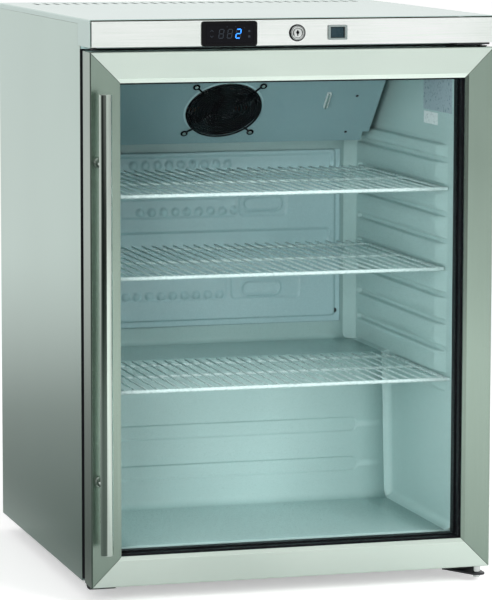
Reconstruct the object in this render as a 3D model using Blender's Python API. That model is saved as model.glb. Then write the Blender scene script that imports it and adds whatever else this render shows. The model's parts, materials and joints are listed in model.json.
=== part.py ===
"""Undercounter refrigerator with a framed glass door, right hinged, fan cooled.

Metres, +Z up. The origin is on the floor, under the middle of the whole object.
-Y is the front, +X is the hinge side.
"""
import math

import bmesh
import bpy
from mathutils import Matrix, Vector

# Overall sizes
CABINET_WIDTH = 0.598
CABINET_DEPTH = 0.540
BODY_HEIGHT = 0.805
DOOR_THICKNESS = 0.0425
GASKET_DEPTH = 0.0172
FOOT_HEIGHT = 0.025
HANDLE_STANDOFF = 0.040
HANDLE_DIAMETER = 0.018
CHEEK_HEIGHT = 0.039
DOOR_TOP_GAP = 0.006
DOOR_HEIGHT = BODY_HEIGHT - CHEEK_HEIGHT - DOOR_TOP_GAP

# Shared small values
GAP = 0.0003
OVERRUN = 0.004
SHEET = 0.001
ROUND_STEPS = 24
SMALL_STEPS = 16

# Cabinet shell
SIDE_WALL = 0.036
FLOOR_HEIGHT = 0.045
CEILING_DROP = 0.079
CEILING_HEIGHT = BODY_HEIGHT - CEILING_DROP
LINER_BACK_SPACE = 0.078
LINER_DEPTH = CABINET_DEPTH - LINER_BACK_SPACE
LINER_WALL = 0.0015
BACK_INSULATION = 0.036
HUMP_TOP = 0.270
SLOPE_DROP = 0.1325
SLOPE_FOOT_HEIGHT = CEILING_HEIGHT - SLOPE_DROP
HUMP_REACH = 0.162
HUMP_HEAD = LINER_DEPTH - HUMP_REACH
HUMP_SLANT = 0.016
HUMP_FOOT = HUMP_HEAD - HUMP_SLANT
HUMP_WALL = 0.0045
HUMP_INSULATION = 0.034
HUMP_ROUND = 0.010
REAR_FLANGE = 0.012
PAN_SHEET = 0.0015
PAN_LIP = 0.022
PAN_INSET = 0.008

# Shelf runners in the liner
RUNNER_PROUD = 0.007
RUNNER_RAMP = 0.036
RUNNER_START = 0.034
RUNNER_MARGIN = 0.018
GROOVE_COUNT = 9
GROOVE_HEIGHT = 0.008
GROOVE_DEPTH = 0.0064
GROOVE_START = 0.010
GROOVE_BACK_SPACE = 0.032
GROOVE_LENGTH = LINER_DEPTH - GROOVE_BACK_SPACE
GROOVE_MARGIN = 0.0085
FIRST_GROOVE_DROP = 0.005
FIRST_GROOVE = HUMP_TOP - FIRST_GROOVE_DROP
GROOVE_PITCH = (SLOPE_FOOT_HEIGHT - FIRST_GROOVE - GROOVE_MARGIN) / (GROOVE_COUNT - 1)
CORNER_STRIP = 0.017
BEAD_SPACE = 0.091
BEAD_WIDTH = CABINET_WIDTH - 2 * BEAD_SPACE
BEAD_HEIGHT = 0.021
BEAD_DEPTH = 0.0022
BEAD_PITCH = 0.061
BEAD_LOW = 0.088

# Top cover and control fascia
SKIRT = 0.008
CHEEK_OVERLAP = 0.012
COVER_EDGE = 0.0015
VENT_PITCH = 0.0155
VENT_WIDTH = 0.006
VENT_LENGTH = 0.040
VENT_INSET = 0.050
VENT_MARGIN = 0.042
FASCIA_SHEET = 0.0012
FASCIA_RETURN = 0.012
FASCIA_SETBACK = 0.006
SHADOW_LINE = 0.0017

# Display, lock and switch in the fascia; places run from the cabinet's middle
DISPLAY_X = -0.0975
DISPLAY_WIDTH = 0.0815
DISPLAY_HEIGHT = 0.0355
DISPLAY_BODY_WIDTH = 0.071
DISPLAY_BODY_HEIGHT = 0.029
DISPLAY_BODY_DEPTH = 0.042
DISPLAY_ROUND = 0.004
BEZEL_PROUD = 0.0022
DISPLAY_BORDER = 0.0045
DISPLAY_BORDER_ENDS = 0.006
LENS_RECESS = 0.0012
CONTROL_LEVEL = 0.0175
LOCK_X = 0.0024
LOCK_RING_RADIUS = 0.012
LOCK_RING_PROUD = 0.003
LOCK_BARREL_RADIUS = 0.0095
LOCK_BARREL_LENGTH = 0.021
LOCK_PLUG_RADIUS = 0.0066
LOCK_TAIL = 0.0055
LOCK_TAIL_LENGTH = 0.0045
KEY_SLOT_WIDTH = 0.0016
KEY_SLOT_LENGTH = 0.007
KEY_SLOT_DEPTH = 0.006
CAM_LENGTH = 0.030
CAM_WIDTH = 0.010
CAM_THICKNESS = 0.0025
CAM_CLEARANCE = 0.0015
SWITCH_X = 0.062
SWITCH_WIDTH = 0.0283
SWITCH_HEIGHT = 0.0208
SWITCH_BODY_WIDTH = 0.0245
SWITCH_BODY_HEIGHT = 0.0178
SWITCH_BODY_DEPTH = 0.020
SWITCH_ROUND = 0.0015
ROCKER_WIDTH = 0.0182
ROCKER_HEIGHT = 0.0145
ROCKER_PIVOT_DEPTH = 0.003
ROCKER_CREST = 0.0045
ROCKER_HEEL_DEPTH = 0.006
ROCKER_TILT = math.radians(10)
ROCKER_CLEARANCE = 0.0006

# Hinges
HINGE_INSET = 0.012
HINGE_DEPTH = 0.020
PIN_RADIUS = 0.004
PIN_CLEARANCE = 0.0002
PIN_ENGAGEMENT = 0.012
BUSH_WALL = 0.0012
BUSH_FLANGE_RADIUS = 0.0075
BUSH_FLANGE = 0.0012
BRACKET_SHEET = 0.003
BRACKET_WIDTH = 0.050
BRACKET_NOSE = 0.011
BRACKET_UPRIGHT = 0.026
LOWER_BRACKET_DROP = 0.012
LOWER_BRACKET_NOSE = 0.018
LOWER_BRACKET_LEAF = 0.036
PIN_NUT_RADIUS = 0.006
PIN_NUT_HEIGHT = 0.004
COLLAR_RADIUS = 0.0055

# Door frame and glass
FRAME_FACE = 0.044
FRAME_EDGE_ROUND = 0.0015
FRAME_BEVEL = 0.006
FRAME_BEVEL_DEPTH = 0.003
FRAME_LIP = 0.004
FRAME_REBATE = 0.008
GLASS_THICKNESS = 0.004
GLASS_SPACE = 0.012
GASKET_INSET = 0.012
GASKET_WIDTH = 0.016
GASKET_ROOT_WIDTH = 0.004
GASKET_ROOT_DEPTH = 0.006
BUMPER_LENGTH = 0.034
BUMPER_DROP = 0.006
BUMPER_BELLY_SHARE = 0.9
BUFFER_INSET = 0.006
BUFFER_WIDTH = 0.005
BUFFER_LENGTH = 0.020
BUFFER_HEIGHT = 0.004
BUFFER_SETBACK = 0.004

# Handle
HANDLE_INSET = 0.0125
HANDLE_BASE = 0.055
HANDLE_HEADROOM = 0.0555
HANDLE_LENGTH = DOOR_HEIGHT - HANDLE_BASE - HANDLE_HEADROOM
HANDLE_EDGE = 0.001
POST_RADIUS = 0.0065
POST_INSET = 0.099
POST_FOOT_RADIUS = 0.008
POST_FOOT = 0.003

# Evaporator box under the ceiling; reaches run from the cabinet's front face
SLOPE_HEAD_SPACE = 0.221
SLOPE_HEAD = LINER_DEPTH - SLOPE_HEAD_SPACE
SLOPE_FOOT_SPACE = 0.092
SLOPE_FOOT = LINER_DEPTH - SLOPE_FOOT_SPACE
COVER_SIDE_SPACE = 0.053
COVER_HALF_WIDTH = CABINET_WIDTH / 2 - COVER_SIDE_SPACE
COVER_SHEET = 0.0015
COVER_NOTCH = 0.010
COVER_NOTCH_RISE = 0.014
FAN_SIZE = 0.1195
FAN_DEPTH = 0.025
FAN_OPENING_RADIUS = 0.059
FAN_UP_SLOPE = 0.0778
FAN_DUCT_RADIUS = 0.0575
FAN_HUB_RADIUS = 0.021
FAN_HUB_DEPTH = 0.009
FAN_ARM = 0.006
FAN_ARM_DEPTH = 0.004
FAN_AXLE_RADIUS = 0.002
BLADE_COUNT = 7
BLADE_RADIUS = 0.054
BLADE_ROOT_SHARE = 0.85
BLADE_CHORD = 0.016
BLADE_THICKNESS = 0.0016
BLADE_PITCH_ROOT = math.radians(42)
BLADE_PITCH_TIP = math.radians(26)
GUARD_WIRE = 0.0011
GUARD_RING_SHARES = (0.34, 0.66, 0.98)
GUARD_LIFT_SHARES = (0.6, 1.0)
GUARD_HOLE_SPACING = 0.105
GUARD_LOOP_RADIUS = 0.0042
GUARD_STANDOFF = 0.004
EVAPORATOR_DEPTH = 0.050
EVAPORATOR_HEIGHT = 0.098
EVAPORATOR_SIDE_SPACE = 0.041
EVAPORATOR_HALF_WIDTH = COVER_HALF_WIDTH - EVAPORATOR_SIDE_SPACE
EVAPORATOR_BACK_SPACE = 0.010
FIN_COUNT = 14
FIN_WIDTH = 0.004
FIN_ROOT_SHARE = 0.45
TRAY_HEIGHT = 0.014
TRAY_SHEET = 0.0015
TRAY_FRONT_SPACE = 0.016
CLIP_UP_SLOPE = 0.097
CLIP_INSET = 0.085
CLIP_X = COVER_HALF_WIDTH - CLIP_INSET
CLIP_LENGTH = 0.026
CLIP_WIDTH = 0.006
CLIP_HEIGHT = 0.008
CLIP_SHEET = 0.0016
LAMP_LENGTH = 0.300
LAMP_WIDTH = 0.032
LAMP_HEIGHT = 0.008
LAMP_SETBACK = 0.020

# Air duct panel on the back wall
DUCT_SIDE_SPACE = 0.013
DUCT_HALF_WIDTH = COVER_HALF_WIDTH - DUCT_SIDE_SPACE
DUCT_RISE = 0.028
DUCT_LOW = HUMP_TOP + DUCT_RISE
DUCT_HEADROOM = 0.0205
DUCT_HIGH = SLOPE_FOOT_HEIGHT - DUCT_HEADROOM
DUCT_FLANGE = 0.003
DUCT_PROUD = 0.0035
DUCT_BORDER = 0.010
DUCT_CORNER = 0.008
SCOOP_COUNT = 9
SCOOP_PITCH = 0.019
SCOOP_WIDTH = 0.012
SCOOP_HEIGHT = 0.008
SCOOP_X = -0.115
SCOOP_ROW_SHARES = (0.160, 0.480, 0.650)
LONG_SLOT_X = 0.065
LONG_SLOT_LENGTH = 0.080
LONG_SLOT_HEIGHT = 0.020

# Wire shelves
SHELF_GROOVES = (7, 4, 0)
TOP_SHELF_SETBACK = 0.025
MIDDLE_SHELF_SETBACK = 0.040
LOW_SHELF_SETBACK = 0.010
SHELF_BACK_SPACE = 0.077
SHELF_DEPTH = LINER_DEPTH - SHELF_BACK_SPACE
LOW_SHELF_BACK_SPACE = 0.016
LOW_SHELF_DEPTH = HUMP_HEAD - LOW_SHELF_BACK_SPACE
SHELF_END_GAP = 0.0007
FRONT_BAR = 0.0055
CROSS_ROD = 0.004
WIRE = 0.0028
WIRE_COUNT = 31
WIRE_END_SPACE = 0.050
WIRE_PITCH = (CABINET_WIDTH - 2 * WIRE_END_SPACE) / (WIRE_COUNT - 1)
WELD_DEPTH = 0.0008
REAR_ROD_INSET = 0.030

# Machine compartment and condenser
COMPRESSOR_RADIUS = 0.066
COMPRESSOR_HEIGHT = 0.118
CAN_FOOT_SHARE = 0.8
CAN_ROUND_SHARE = 0.25
CAN_SEAM_SHARE = 0.55
CAN_SHOULDER_SHARE = 0.93
CAN_CROWN_SHARE = 0.7
CAN_CROWN_DROP_SHARE = 0.07
COMPRESSOR_INSET = 0.189
COMPRESSOR_X = CABINET_WIDTH / 2 - COMPRESSOR_INSET
MOUNT_HEIGHT = 0.014
MOUNT_RADIUS = 0.010
MOUNT_PLATE = 0.003
MOUNT_SPREAD_X = 0.085
MOUNT_SPREAD_Y = 0.050
RELAY_WIDTH = 0.040
RELAY_DEPTH = 0.050
RELAY_HEIGHT = 0.052
PAN_DEPTH = 0.030
PAN_HALF_LENGTH = 0.080
PAN_HALF_WIDTH = 0.062
CONDENSER_RUNS = 7
CONDENSER_SIDE_SPACE = 0.074
CONDENSER_HALF_WIDTH = CABINET_WIDTH / 2 - CONDENSER_SIDE_SPACE
CONDENSER_TUBE = 0.0026
CONDENSER_LOW = 0.290
CONDENSER_HEADROOM = 0.095
CONDENSER_PITCH = (BODY_HEIGHT - CONDENSER_LOW - CONDENSER_HEADROOM) / (CONDENSER_RUNS - 1)
CONDENSER_WIRES = 6
CONDENSER_WIRE = 0.002
CONDENSER_STANDOFF = 0.018
STANDOFF_WIDTH = 0.008
BEND_STEPS = 3
BEND_SHARE = 0.98
PIPE_RADIUS = 0.0032
DRIER_RADIUS = 0.008
DRIER_LENGTH = 0.054
GLAND_RADIUS = 0.006
GLAND_FLANGE = 0.009
GLAND_TAPER_SHARE = 0.8
GLAND_LENGTH = 0.012
GLAND_BORE = 0.004
GLAND_INSET = 0.099
GLAND_X = GLAND_INSET - CABINET_WIDTH / 2

# Levelling feet
FOOT_RADIUS = 0.018
FOOT_PAD = 0.007
FOOT_RIM_SHARE = 0.7
FOOT_STEM = 0.005
FOOT_COLLAR = 0.008
FOOT_COLLAR_HEIGHT = 0.005
FOOT_INSET = 0.045
FOOT_FRONT = 0.080
FOOT_REAR = 0.040

# Planes and places worked out from the sizes above
HALF = CABINET_WIDTH / 2
INNER_HALF = HALF - SHEET - GAP
OVERALL_DEPTH = HANDLE_STANDOFF + HANDLE_DIAMETER / 2 + DOOR_THICKNESS + GASKET_DEPTH + CABINET_DEPTH
DOOR_FRONT = -OVERALL_DEPTH / 2 + HANDLE_STANDOFF + HANDLE_DIAMETER / 2
DOOR_BACK = DOOR_FRONT + DOOR_THICKNESS
FACE = DOOR_BACK + GASKET_DEPTH
REAR = FACE + CABINET_DEPTH
BASE = FOOT_HEIGHT
DOOR_TOP = BASE + DOOR_HEIGHT
TOP = BASE + BODY_HEIGHT
CHEEK_BOTTOM = TOP - CHEEK_HEIGHT
SHELL_TOP = TOP - SKIRT - GAP
CAVITY_HALF = HALF - SIDE_WALL
FLOOR = BASE + FLOOR_HEIGHT
CEILING = BASE + CEILING_HEIGHT
BACK_WALL = FACE + LINER_DEPTH
FOAM_BACK = BACK_WALL + LINER_WALL + GAP + BACK_INSULATION
HUMP_LEVEL = BASE + HUMP_TOP
FOAM_STEP = FACE + HUMP_HEAD + HUMP_WALL + GAP + HUMP_INSULATION
STEP_LEVEL = HUMP_LEVEL - HUMP_WALL - GAP - HUMP_INSULATION
PAN_TOP = BASE + PAN_SHEET
CONTROL_Z = CHEEK_BOTTOM + CONTROL_LEVEL
HINGE_X = HALF - HINGE_INSET
HINGE_Y = DOOR_FRONT + HINGE_DEPTH
FASCIA_FLOOR = CHEEK_BOTTOM + GAP
RUNNER_HALF = CAVITY_HALF - RUNNER_PROUD
REAR_PANEL_BACK = FOAM_BACK + GAP + SHEET
PAN_BACK = REAR - PAN_INSET
BAY_Y = (FOAM_STEP + REAR) / 2


# Tools for making closed meshes

def finish(name, mesh_builder, material, smooth=False):
    """Turn a bmesh into a named object with outward faces and one material."""
    bmesh.ops.recalc_face_normals(mesh_builder, faces=mesh_builder.faces)
    mesh = bpy.data.meshes.new(name)
    mesh_builder.to_mesh(mesh)
    mesh_builder.free()
    if smooth:
        mesh.shade_smooth()
        mesh.set_sharp_from_angle(angle=math.radians(35))
    thing = bpy.data.objects.new(name, mesh)
    bpy.context.scene.collection.objects.link(thing)
    if material is not None:
        mesh.materials.append(material)
    return thing


def add_prism(builder, outline, axis, low, high):
    """Add an outline extruded along X, Y or Z; its points are the other two axes in order."""
    places = {"X": lambda a, b, t: (t, a, b), "Y": lambda a, b, t: (a, t, b), "Z": lambda a, b, t: (a, b, t)}
    place = places[axis]
    near = [builder.verts.new(place(a, b, low)) for a, b in outline]
    far = [builder.verts.new(place(a, b, high)) for a, b in outline]
    builder.faces.new(near)
    builder.faces.new(list(reversed(far)))
    for i in range(len(outline)):
        j = (i + 1) % len(outline)
        builder.faces.new((near[i], near[j], far[j], far[i]))


def prism(name, outline, axis, low, high, material=None, smooth=False):
    """One extruded outline as an object."""
    builder = bmesh.new()
    add_prism(builder, outline, axis, low, high)
    return finish(name, builder, material, smooth)


def add_box(builder, low, high):
    """Add an upright box between two corners."""
    outline = [(low[0], low[1]), (high[0], low[1]), (high[0], high[1]), (low[0], high[1])]
    add_prism(builder, outline, "Z", low[2], high[2])


def boxes(name, corners, material=None):
    """Separate boxes in one object, each given by its low and high corner."""
    builder = bmesh.new()
    for low, high in corners:
        add_box(builder, low, high)
    return finish(name, builder, material)


def add_ring_sweep(builder, rings, closed):
    """Skin a list of vertex rings; a closed sweep joins its last ring to its first."""
    made = [[builder.verts.new(point) for point in ring] for ring in rings]
    count = len(made[0])
    last = len(made) if closed else len(made) - 1
    for i in range(last):
        ring, following = made[i], made[(i + 1) % len(made)]
        for j in range(count):
            k = (j + 1) % count
            builder.faces.new((ring[j], ring[k], following[k], following[j]))
    if not closed:
        builder.faces.new(made[0])
        builder.faces.new(list(reversed(made[-1])))


def circle(radius, steps, start=0.0):
    """Points of a circle, counter-clockwise from an angle."""
    turns = [start + 2 * math.pi * i / steps for i in range(steps)]
    return [(radius * math.cos(turn), radius * math.sin(turn)) for turn in turns]


def add_turned(builder, profile, frame, steps, closed=False):
    """Revolve (radius, height) points about a frame's Z; open profiles get flat end discs."""
    rings = []
    for radius, height in profile:
        rings.append([frame @ Vector((a, b, height)) for a, b in circle(radius, steps)])
    add_ring_sweep(builder, rings, closed)


def turned(name, profile, frame, material=None, steps=ROUND_STEPS, closed=False):
    """A turned piece as an object."""
    builder = bmesh.new()
    add_turned(builder, profile, frame, steps, closed)
    return finish(name, builder, material, smooth=True)


def upright(x, y, z):
    """Frame whose Z is world Z."""
    return Matrix.Translation((x, y, z))


def inward(x, y, z):
    """Frame whose Z runs from the front into the object, along world +Y."""
    return Matrix.Translation((x, y, z)) @ Matrix.Rotation(-math.pi / 2, 4, "X")


def rectangle(half_width, half_height, corner=0.0, centre=(0.0, 0.0), steps=3):
    """Outline of a rectangle with rounded corners."""
    if corner <= 0:
        signs = ((-1, -1), (1, -1), (1, 1), (-1, 1))
        return [(centre[0] + a * half_width, centre[1] + b * half_height) for a, b in signs]
    points = []
    for quarter, (a, b) in enumerate(((-1, -1), (1, -1), (1, 1), (-1, 1))):
        middle_x = centre[0] + a * (half_width - corner)
        middle_y = centre[1] + b * (half_height - corner)
        for step in range(steps + 1):
            turn = math.pi + (quarter + step / steps) * math.pi / 2
            points.append((middle_x + corner * math.cos(turn), middle_y + corner * math.sin(turn)))
    return points


def rounded_path(points, radii, steps):
    """Round the corners of an open or closed run of 2-D or 3-D points by their own radii."""
    result = []
    for i, (point, radius) in enumerate(zip(points, radii)):
        here = Vector(point)
        if radius <= 0:
            result.append(tuple(here))
            continue
        before = (Vector(points[i - 1]) - here).normalized()
        after = (Vector(points[(i + 1) % len(points)]) - here).normalized()
        half_turn = before.angle(after) / 2
        reach = radius / math.tan(half_turn)
        centre = here + (before + after).normalized() * radius / math.sin(half_turn)
        start = here + before * reach - centre
        end = here + after * reach - centre
        for step in range(steps + 1):
            share = step / steps
            arm = (start * (1 - share) + end * share).normalized() * radius
            result.append(tuple(centre + arm))
    return result


def tube(name, points, radius, sides, material=None):
    """A round bar along 3-D points, its rings turned with the path."""
    path = [Vector(point) for point in points]
    side = None
    rings = []
    for i, here in enumerate(path):
        ahead = path[min(i + 1, len(path) - 1)] - path[max(i - 1, 0)]
        ahead.normalize()
        if side is None:
            side = ahead.orthogonal().normalized()
        side = (side - ahead * side.dot(ahead)).normalized()
        up = ahead.cross(side)
        rings.append([here + side * a + up * b for a, b in circle(radius, sides)])
    builder = bmesh.new()
    add_ring_sweep(builder, rings, False)
    return finish(name, builder, material, smooth=True)


def change(target, tool, operation):
    """Cut a hidden tool object out of the target, or weld it on."""
    step = target.modifiers.new(operation.lower() + "_" + tool.name, "BOOLEAN")
    step.operation = operation
    step.solver = "EXACT"
    step.object = tool
    tool.hide_render = True
    tool.display_type = "WIRE"


def cut(target, *tools):
    """Take the tools out of the target."""
    for tool in tools:
        change(target, tool, "DIFFERENCE")


def weld(target, *tools):
    """Join the tools to the target."""
    for tool in tools:
        change(target, tool, "UNION")


def round_edges(thing, width, segments, chosen):
    """Bevel the mesh edges whose two end points the chosen test accepts."""
    builder = bmesh.new()
    builder.from_mesh(thing.data)
    edges = [edge for edge in builder.edges if chosen(edge.verts[0].co, edge.verts[1].co)]
    bmesh.ops.bevel(builder, geom=edges, offset=width, segments=segments, profile=0.5, affect="EDGES")
    bmesh.ops.recalc_face_normals(builder, faces=builder.faces)
    builder.to_mesh(thing.data)
    builder.free()


# Materials

def principled(name, colour, roughness, metallic):
    """A named Principled BSDF material, made once."""
    material = bpy.data.materials.get(name)
    if material is None:
        material = bpy.data.materials.new(name)
        material.use_nodes = True
        shader = material.node_tree.nodes["Principled BSDF"]
        shader.inputs["Base Color"].default_value = (*colour, 1.0)
        shader.inputs["Roughness"].default_value = roughness
        shader.inputs["Metallic"].default_value = metallic
    return material


def stainless():
    """Brushed stainless sheet with a cool green cast."""
    return principled("stainless", (0.62, 0.70, 0.65), 0.32, 1.0)


def bright_steel():
    """Plated or polished steel of pins and the lock."""
    return principled("bright_steel", (0.80, 0.82, 0.82), 0.15, 1.0)


def galvanised():
    """Zinc coated sheet under and behind the cabinet."""
    return principled("galvanised", (0.55, 0.57, 0.58), 0.45, 1.0)


def liner_plastic():
    """Vacuum formed polystyrene lining."""
    return principled("liner_plastic", (0.72, 0.80, 0.80), 0.35, 0.0)


def insulation():
    """Rigid polyurethane foam."""
    return principled("insulation", (0.80, 0.72, 0.45), 0.90, 0.0)


def black_plastic():
    """Black moulded plastic."""
    return principled("black_plastic", (0.015, 0.015, 0.017), 0.35, 0.0)


def smoked_lens():
    """Dark display window."""
    return principled("smoked_lens", (0.02, 0.02, 0.03), 0.10, 0.0)


def glass():
    """Clear pane, drawn as a pale tint here."""
    return principled("glass", (0.80, 0.90, 0.88), 0.03, 0.0)


def gasket_rubber():
    """Black magnetic door seal."""
    return principled("gasket_rubber", (0.02, 0.02, 0.02), 0.60, 0.0)


def coated_wire():
    """White plastic coated steel wire."""
    return principled("coated_wire", (0.86, 0.92, 0.92), 0.30, 0.0)


def painted_cover():
    """Pale painted sheet of the evaporator cover and the air duct."""
    return principled("painted_cover", (0.66, 0.76, 0.78), 0.40, 0.0)


def black_wire():
    """Black coated steel of the fan guard, brackets and condenser."""
    return principled("black_wire", (0.02, 0.02, 0.022), 0.40, 0.3)


def compressor_paint():
    """Black stove enamel on the compressor shell."""
    return principled("compressor_paint", (0.03, 0.03, 0.03), 0.30, 0.2)


def copper():
    """Bare refrigerant pipe."""
    return principled("copper", (0.78, 0.42, 0.28), 0.30, 1.0)


def aluminium():
    """Mill finish fins."""
    return principled("aluminium", (0.75, 0.76, 0.77), 0.35, 1.0)


def rocker_plastic():
    """Dark teal grey switch rocker."""
    return principled("rocker_plastic", (0.10, 0.15, 0.16), 0.40, 0.0)


def lamp_plastic():
    """Milky lamp cover."""
    return principled("lamp_plastic", (0.90, 0.92, 0.90), 0.45, 0.0)


# Cabinet

def side_panel(name, side):
    """Stainless side: a flat sheet with a folded rear flange, notched for the cover's cheek."""
    outer, inner, flange = side * HALF, side * (HALF - SHEET), side * (HALF - REAR_FLANGE)
    plan = [(outer, FACE), (outer, REAR), (flange, REAR), (flange, REAR - SHEET),
            (inner, REAR - SHEET), (inner, FACE)]
    panel = prism(name, plan, "Z", BASE, SHELL_TOP, stainless())
    reach = HALF + OVERRUN
    notch_low = (-reach, FACE - OVERRUN, CHEEK_BOTTOM - GAP)
    notch_high = (reach, FACE + CHEEK_OVERLAP + GAP, SHELL_TOP + OVERRUN)
    cut(panel, boxes(name + "_notch", [(notch_low, notch_high)]))
    return panel


def cavity_outline(offset, hump_offset, front):
    """Side view of the food space grown outwards by an offset, the hump by its own."""
    low, high = FLOOR - offset, CEILING + offset
    slope = (HUMP_HEAD - HUMP_FOOT) / (HUMP_TOP - FLOOR_HEIGHT)
    head = FACE + HUMP_HEAD + hump_offset
    foot = FACE + HUMP_FOOT + hump_offset - slope * offset
    shelf = HUMP_LEVEL - hump_offset
    back = BACK_WALL + offset
    points = [(front, low), (foot, low), (head, shelf), (back, shelf), (back, high), (front, high)]
    inside = HUMP_ROUND - hump_offset
    outside = HUMP_ROUND + offset
    radii = [0, outside, inside, 0, outside, 0]
    return rounded_path(points, radii, 3)


def foam_body():
    """Insulation block with the food space and the machine compartment left out."""
    front = FACE + LINER_WALL + GAP
    low, top = PAN_TOP + GAP, SHELL_TOP
    side_view = [(front, low), (FOAM_STEP, low), (FOAM_STEP, STEP_LEVEL), (FOAM_BACK, STEP_LEVEL),
                 (FOAM_BACK, top), (front, top)]
    body = prism("foam_body", side_view, "X", -INNER_HALF, INNER_HALF, insulation())
    offset = LINER_WALL + GAP
    outline = cavity_outline(offset, HUMP_WALL + GAP, front - OVERRUN)
    reach = CAVITY_HALF + offset
    cut(body, prism("foam_cavity", outline, "X", -reach, reach))
    return body


def runner_blocks():
    """Both runner blocks, each with a ramp at its front, and a chamfered strip in each rear corner."""
    low = BASE + FIRST_GROOVE - RUNNER_MARGIN
    high = BASE + FIRST_GROOVE + (GROOVE_COUNT - 1) * GROOVE_PITCH + GROOVE_HEIGHT + RUNNER_MARGIN
    strip_high = BASE + SLOPE_FOOT_HEIGHT + COVER_NOTCH_RISE - OVERRUN
    ledge, hump_front = HUMP_LEVEL - HUMP_WALL / 2, FACE + HUMP_HEAD + HUMP_WALL / 2
    front, back, strip = FACE + RUNNER_START, BACK_WALL + LINER_WALL / 2, BACK_WALL - CORNER_STRIP
    blocks, lower_blocks, strips = bmesh.new(), bmesh.new(), bmesh.new()
    for side in (-1, 1):
        wall, skin = side * (CAVITY_HALF + LINER_WALL / 2), side * CAVITY_HALF
        face, corner = side * RUNNER_HALF, side * (RUNNER_HALF - CORNER_STRIP)
        start = [(wall, front), (skin, front), (face, front + RUNNER_RAMP)]
        add_prism(blocks, start + [(face, back), (wall, back)], "Z", ledge, high)
        add_prism(lower_blocks, start + [(face, hump_front), (wall, hump_front)], "Z", low, HUMP_LEVEL)
        root = side * (RUNNER_HALF + GROOVE_DEPTH / 2)
        plan = [(root, strip), (face, strip), (corner, BACK_WALL), (corner, back), (root, back)]
        add_prism(strips, plan, "Z", ledge, strip_high)
    return (finish("runner_blocks", blocks, None), finish("runner_block_feet", lower_blocks, None),
            finish("corner_strips", strips, None))


def groove_low(index):
    """Height of a groove's floor."""
    return BASE + FIRST_GROOVE + index * GROOVE_PITCH


def runner_grooves():
    """Cutters for the grooves that carry the shelves, open at the front."""
    corners = []
    for index in range(GROOVE_COUNT):
        low = groove_low(index)
        for side in (-1, 1):
            near, far = sorted((side * (RUNNER_HALF - OVERRUN), side * (RUNNER_HALF + GROOVE_DEPTH)))
            start = FACE + GROOVE_START
            corners.append(((near, start, low), (far, start + GROOVE_LENGTH, low + GROOVE_HEIGHT)))
    return boxes("runner_grooves", corners)


def hump_beads():
    """Two long round-ended recesses pressed into the front of the hump."""
    builder = bmesh.new()
    slope = (HUMP_HEAD - HUMP_FOOT) / (HUMP_TOP - FLOOR_HEIGHT)
    for index in range(2):
        low = BASE + BEAD_LOW + index * BEAD_PITCH
        middle = low + BEAD_HEIGHT / 2
        outline = rectangle(BEAD_WIDTH / 2, BEAD_HEIGHT / 2, BEAD_HEIGHT / 2 - GAP, (0, middle))
        face = FACE + HUMP_FOOT + slope * (middle - FLOOR)
        add_prism(builder, outline, "Y", face - OVERRUN, face + BEAD_DEPTH)
    return finish("hump_beads", builder, None)


def inner_liner():
    """Vacuum formed lining: front flange, tub with the hump, runner blocks and their grooves."""
    front = FACE + LINER_WALL
    outline = cavity_outline(LINER_WALL, HUMP_WALL, front - LINER_WALL / 2)
    reach = CAVITY_HALF + LINER_WALL
    liner = prism("inner_liner", outline, "X", -reach, reach, liner_plastic())
    flange = boxes("liner_flange", [((-INNER_HALF, FACE, PAN_TOP + GAP), (INNER_HALF, front, SHELL_TOP))])
    space = prism("food_space", cavity_outline(0, 0, FACE - OVERRUN), "X", -CAVITY_HALF, CAVITY_HALF)
    weld(liner, flange)
    cut(liner, space)
    weld(liner, *runner_blocks())
    cut(liner, runner_grooves(), hump_beads())
    return liner


def rear_panel():
    """Plain sheet over the back of the insulation."""
    low = (-INNER_HALF, FOAM_BACK + GAP, STEP_LEVEL)
    return boxes("rear_panel", [(low, (INNER_HALF, REAR_PANEL_BACK, SHELL_TOP))], galvanised())


def base_pan():
    """Bottom sheet with a raised lip across the rear."""
    inner = PAN_BACK - PAN_SHEET
    side_view = [(FACE, BASE), (PAN_BACK, BASE), (PAN_BACK, BASE + PAN_LIP), (inner, BASE + PAN_LIP),
                 (inner, PAN_TOP), (FACE, PAN_TOP)]
    pan = prism("base_pan", side_view, "X", -INNER_HALF, INNER_HALF, galvanised())
    bore = GLAND_RADIUS + GAP
    profile = [(bore, -OVERRUN), (bore, PAN_SHEET + OVERRUN)]
    hole = turned("gland_hole", profile, gland_frame(), steps=SMALL_STEPS)
    cut(pan, hole)
    return pan


def top_cover():
    """Folded stainless lid: shallow side skirts, deep cheeks beside the fascia, a row of rear vents."""
    cheek_back = FACE + CHEEK_OVERLAP
    side_view = [(DOOR_FRONT, TOP), (REAR, TOP), (REAR, TOP - SKIRT), (cheek_back, TOP - SKIRT),
                 (cheek_back, CHEEK_BOTTOM), (DOOR_FRONT, CHEEK_BOTTOM)]
    cover = prism("top_cover", side_view, "X", -HALF, HALF, stainless())

    def long_top_edge(a, b):
        on_top = min(a.z, b.z) > TOP - GAP
        return on_top and abs(a.x - b.x) < GAP and abs(a.y - b.y) > GAP

    round_edges(cover, COVER_EDGE, 3, long_top_edge)
    hollow_low = (-HALF + SHEET, DOOR_FRONT - OVERRUN, CHEEK_BOTTOM - OVERRUN)
    hollow = boxes("cover_hollow", [(hollow_low, (HALF - SHEET, REAR + OVERRUN, TOP - SHEET))])
    cut(cover, hollow, vents())
    return cover


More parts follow.
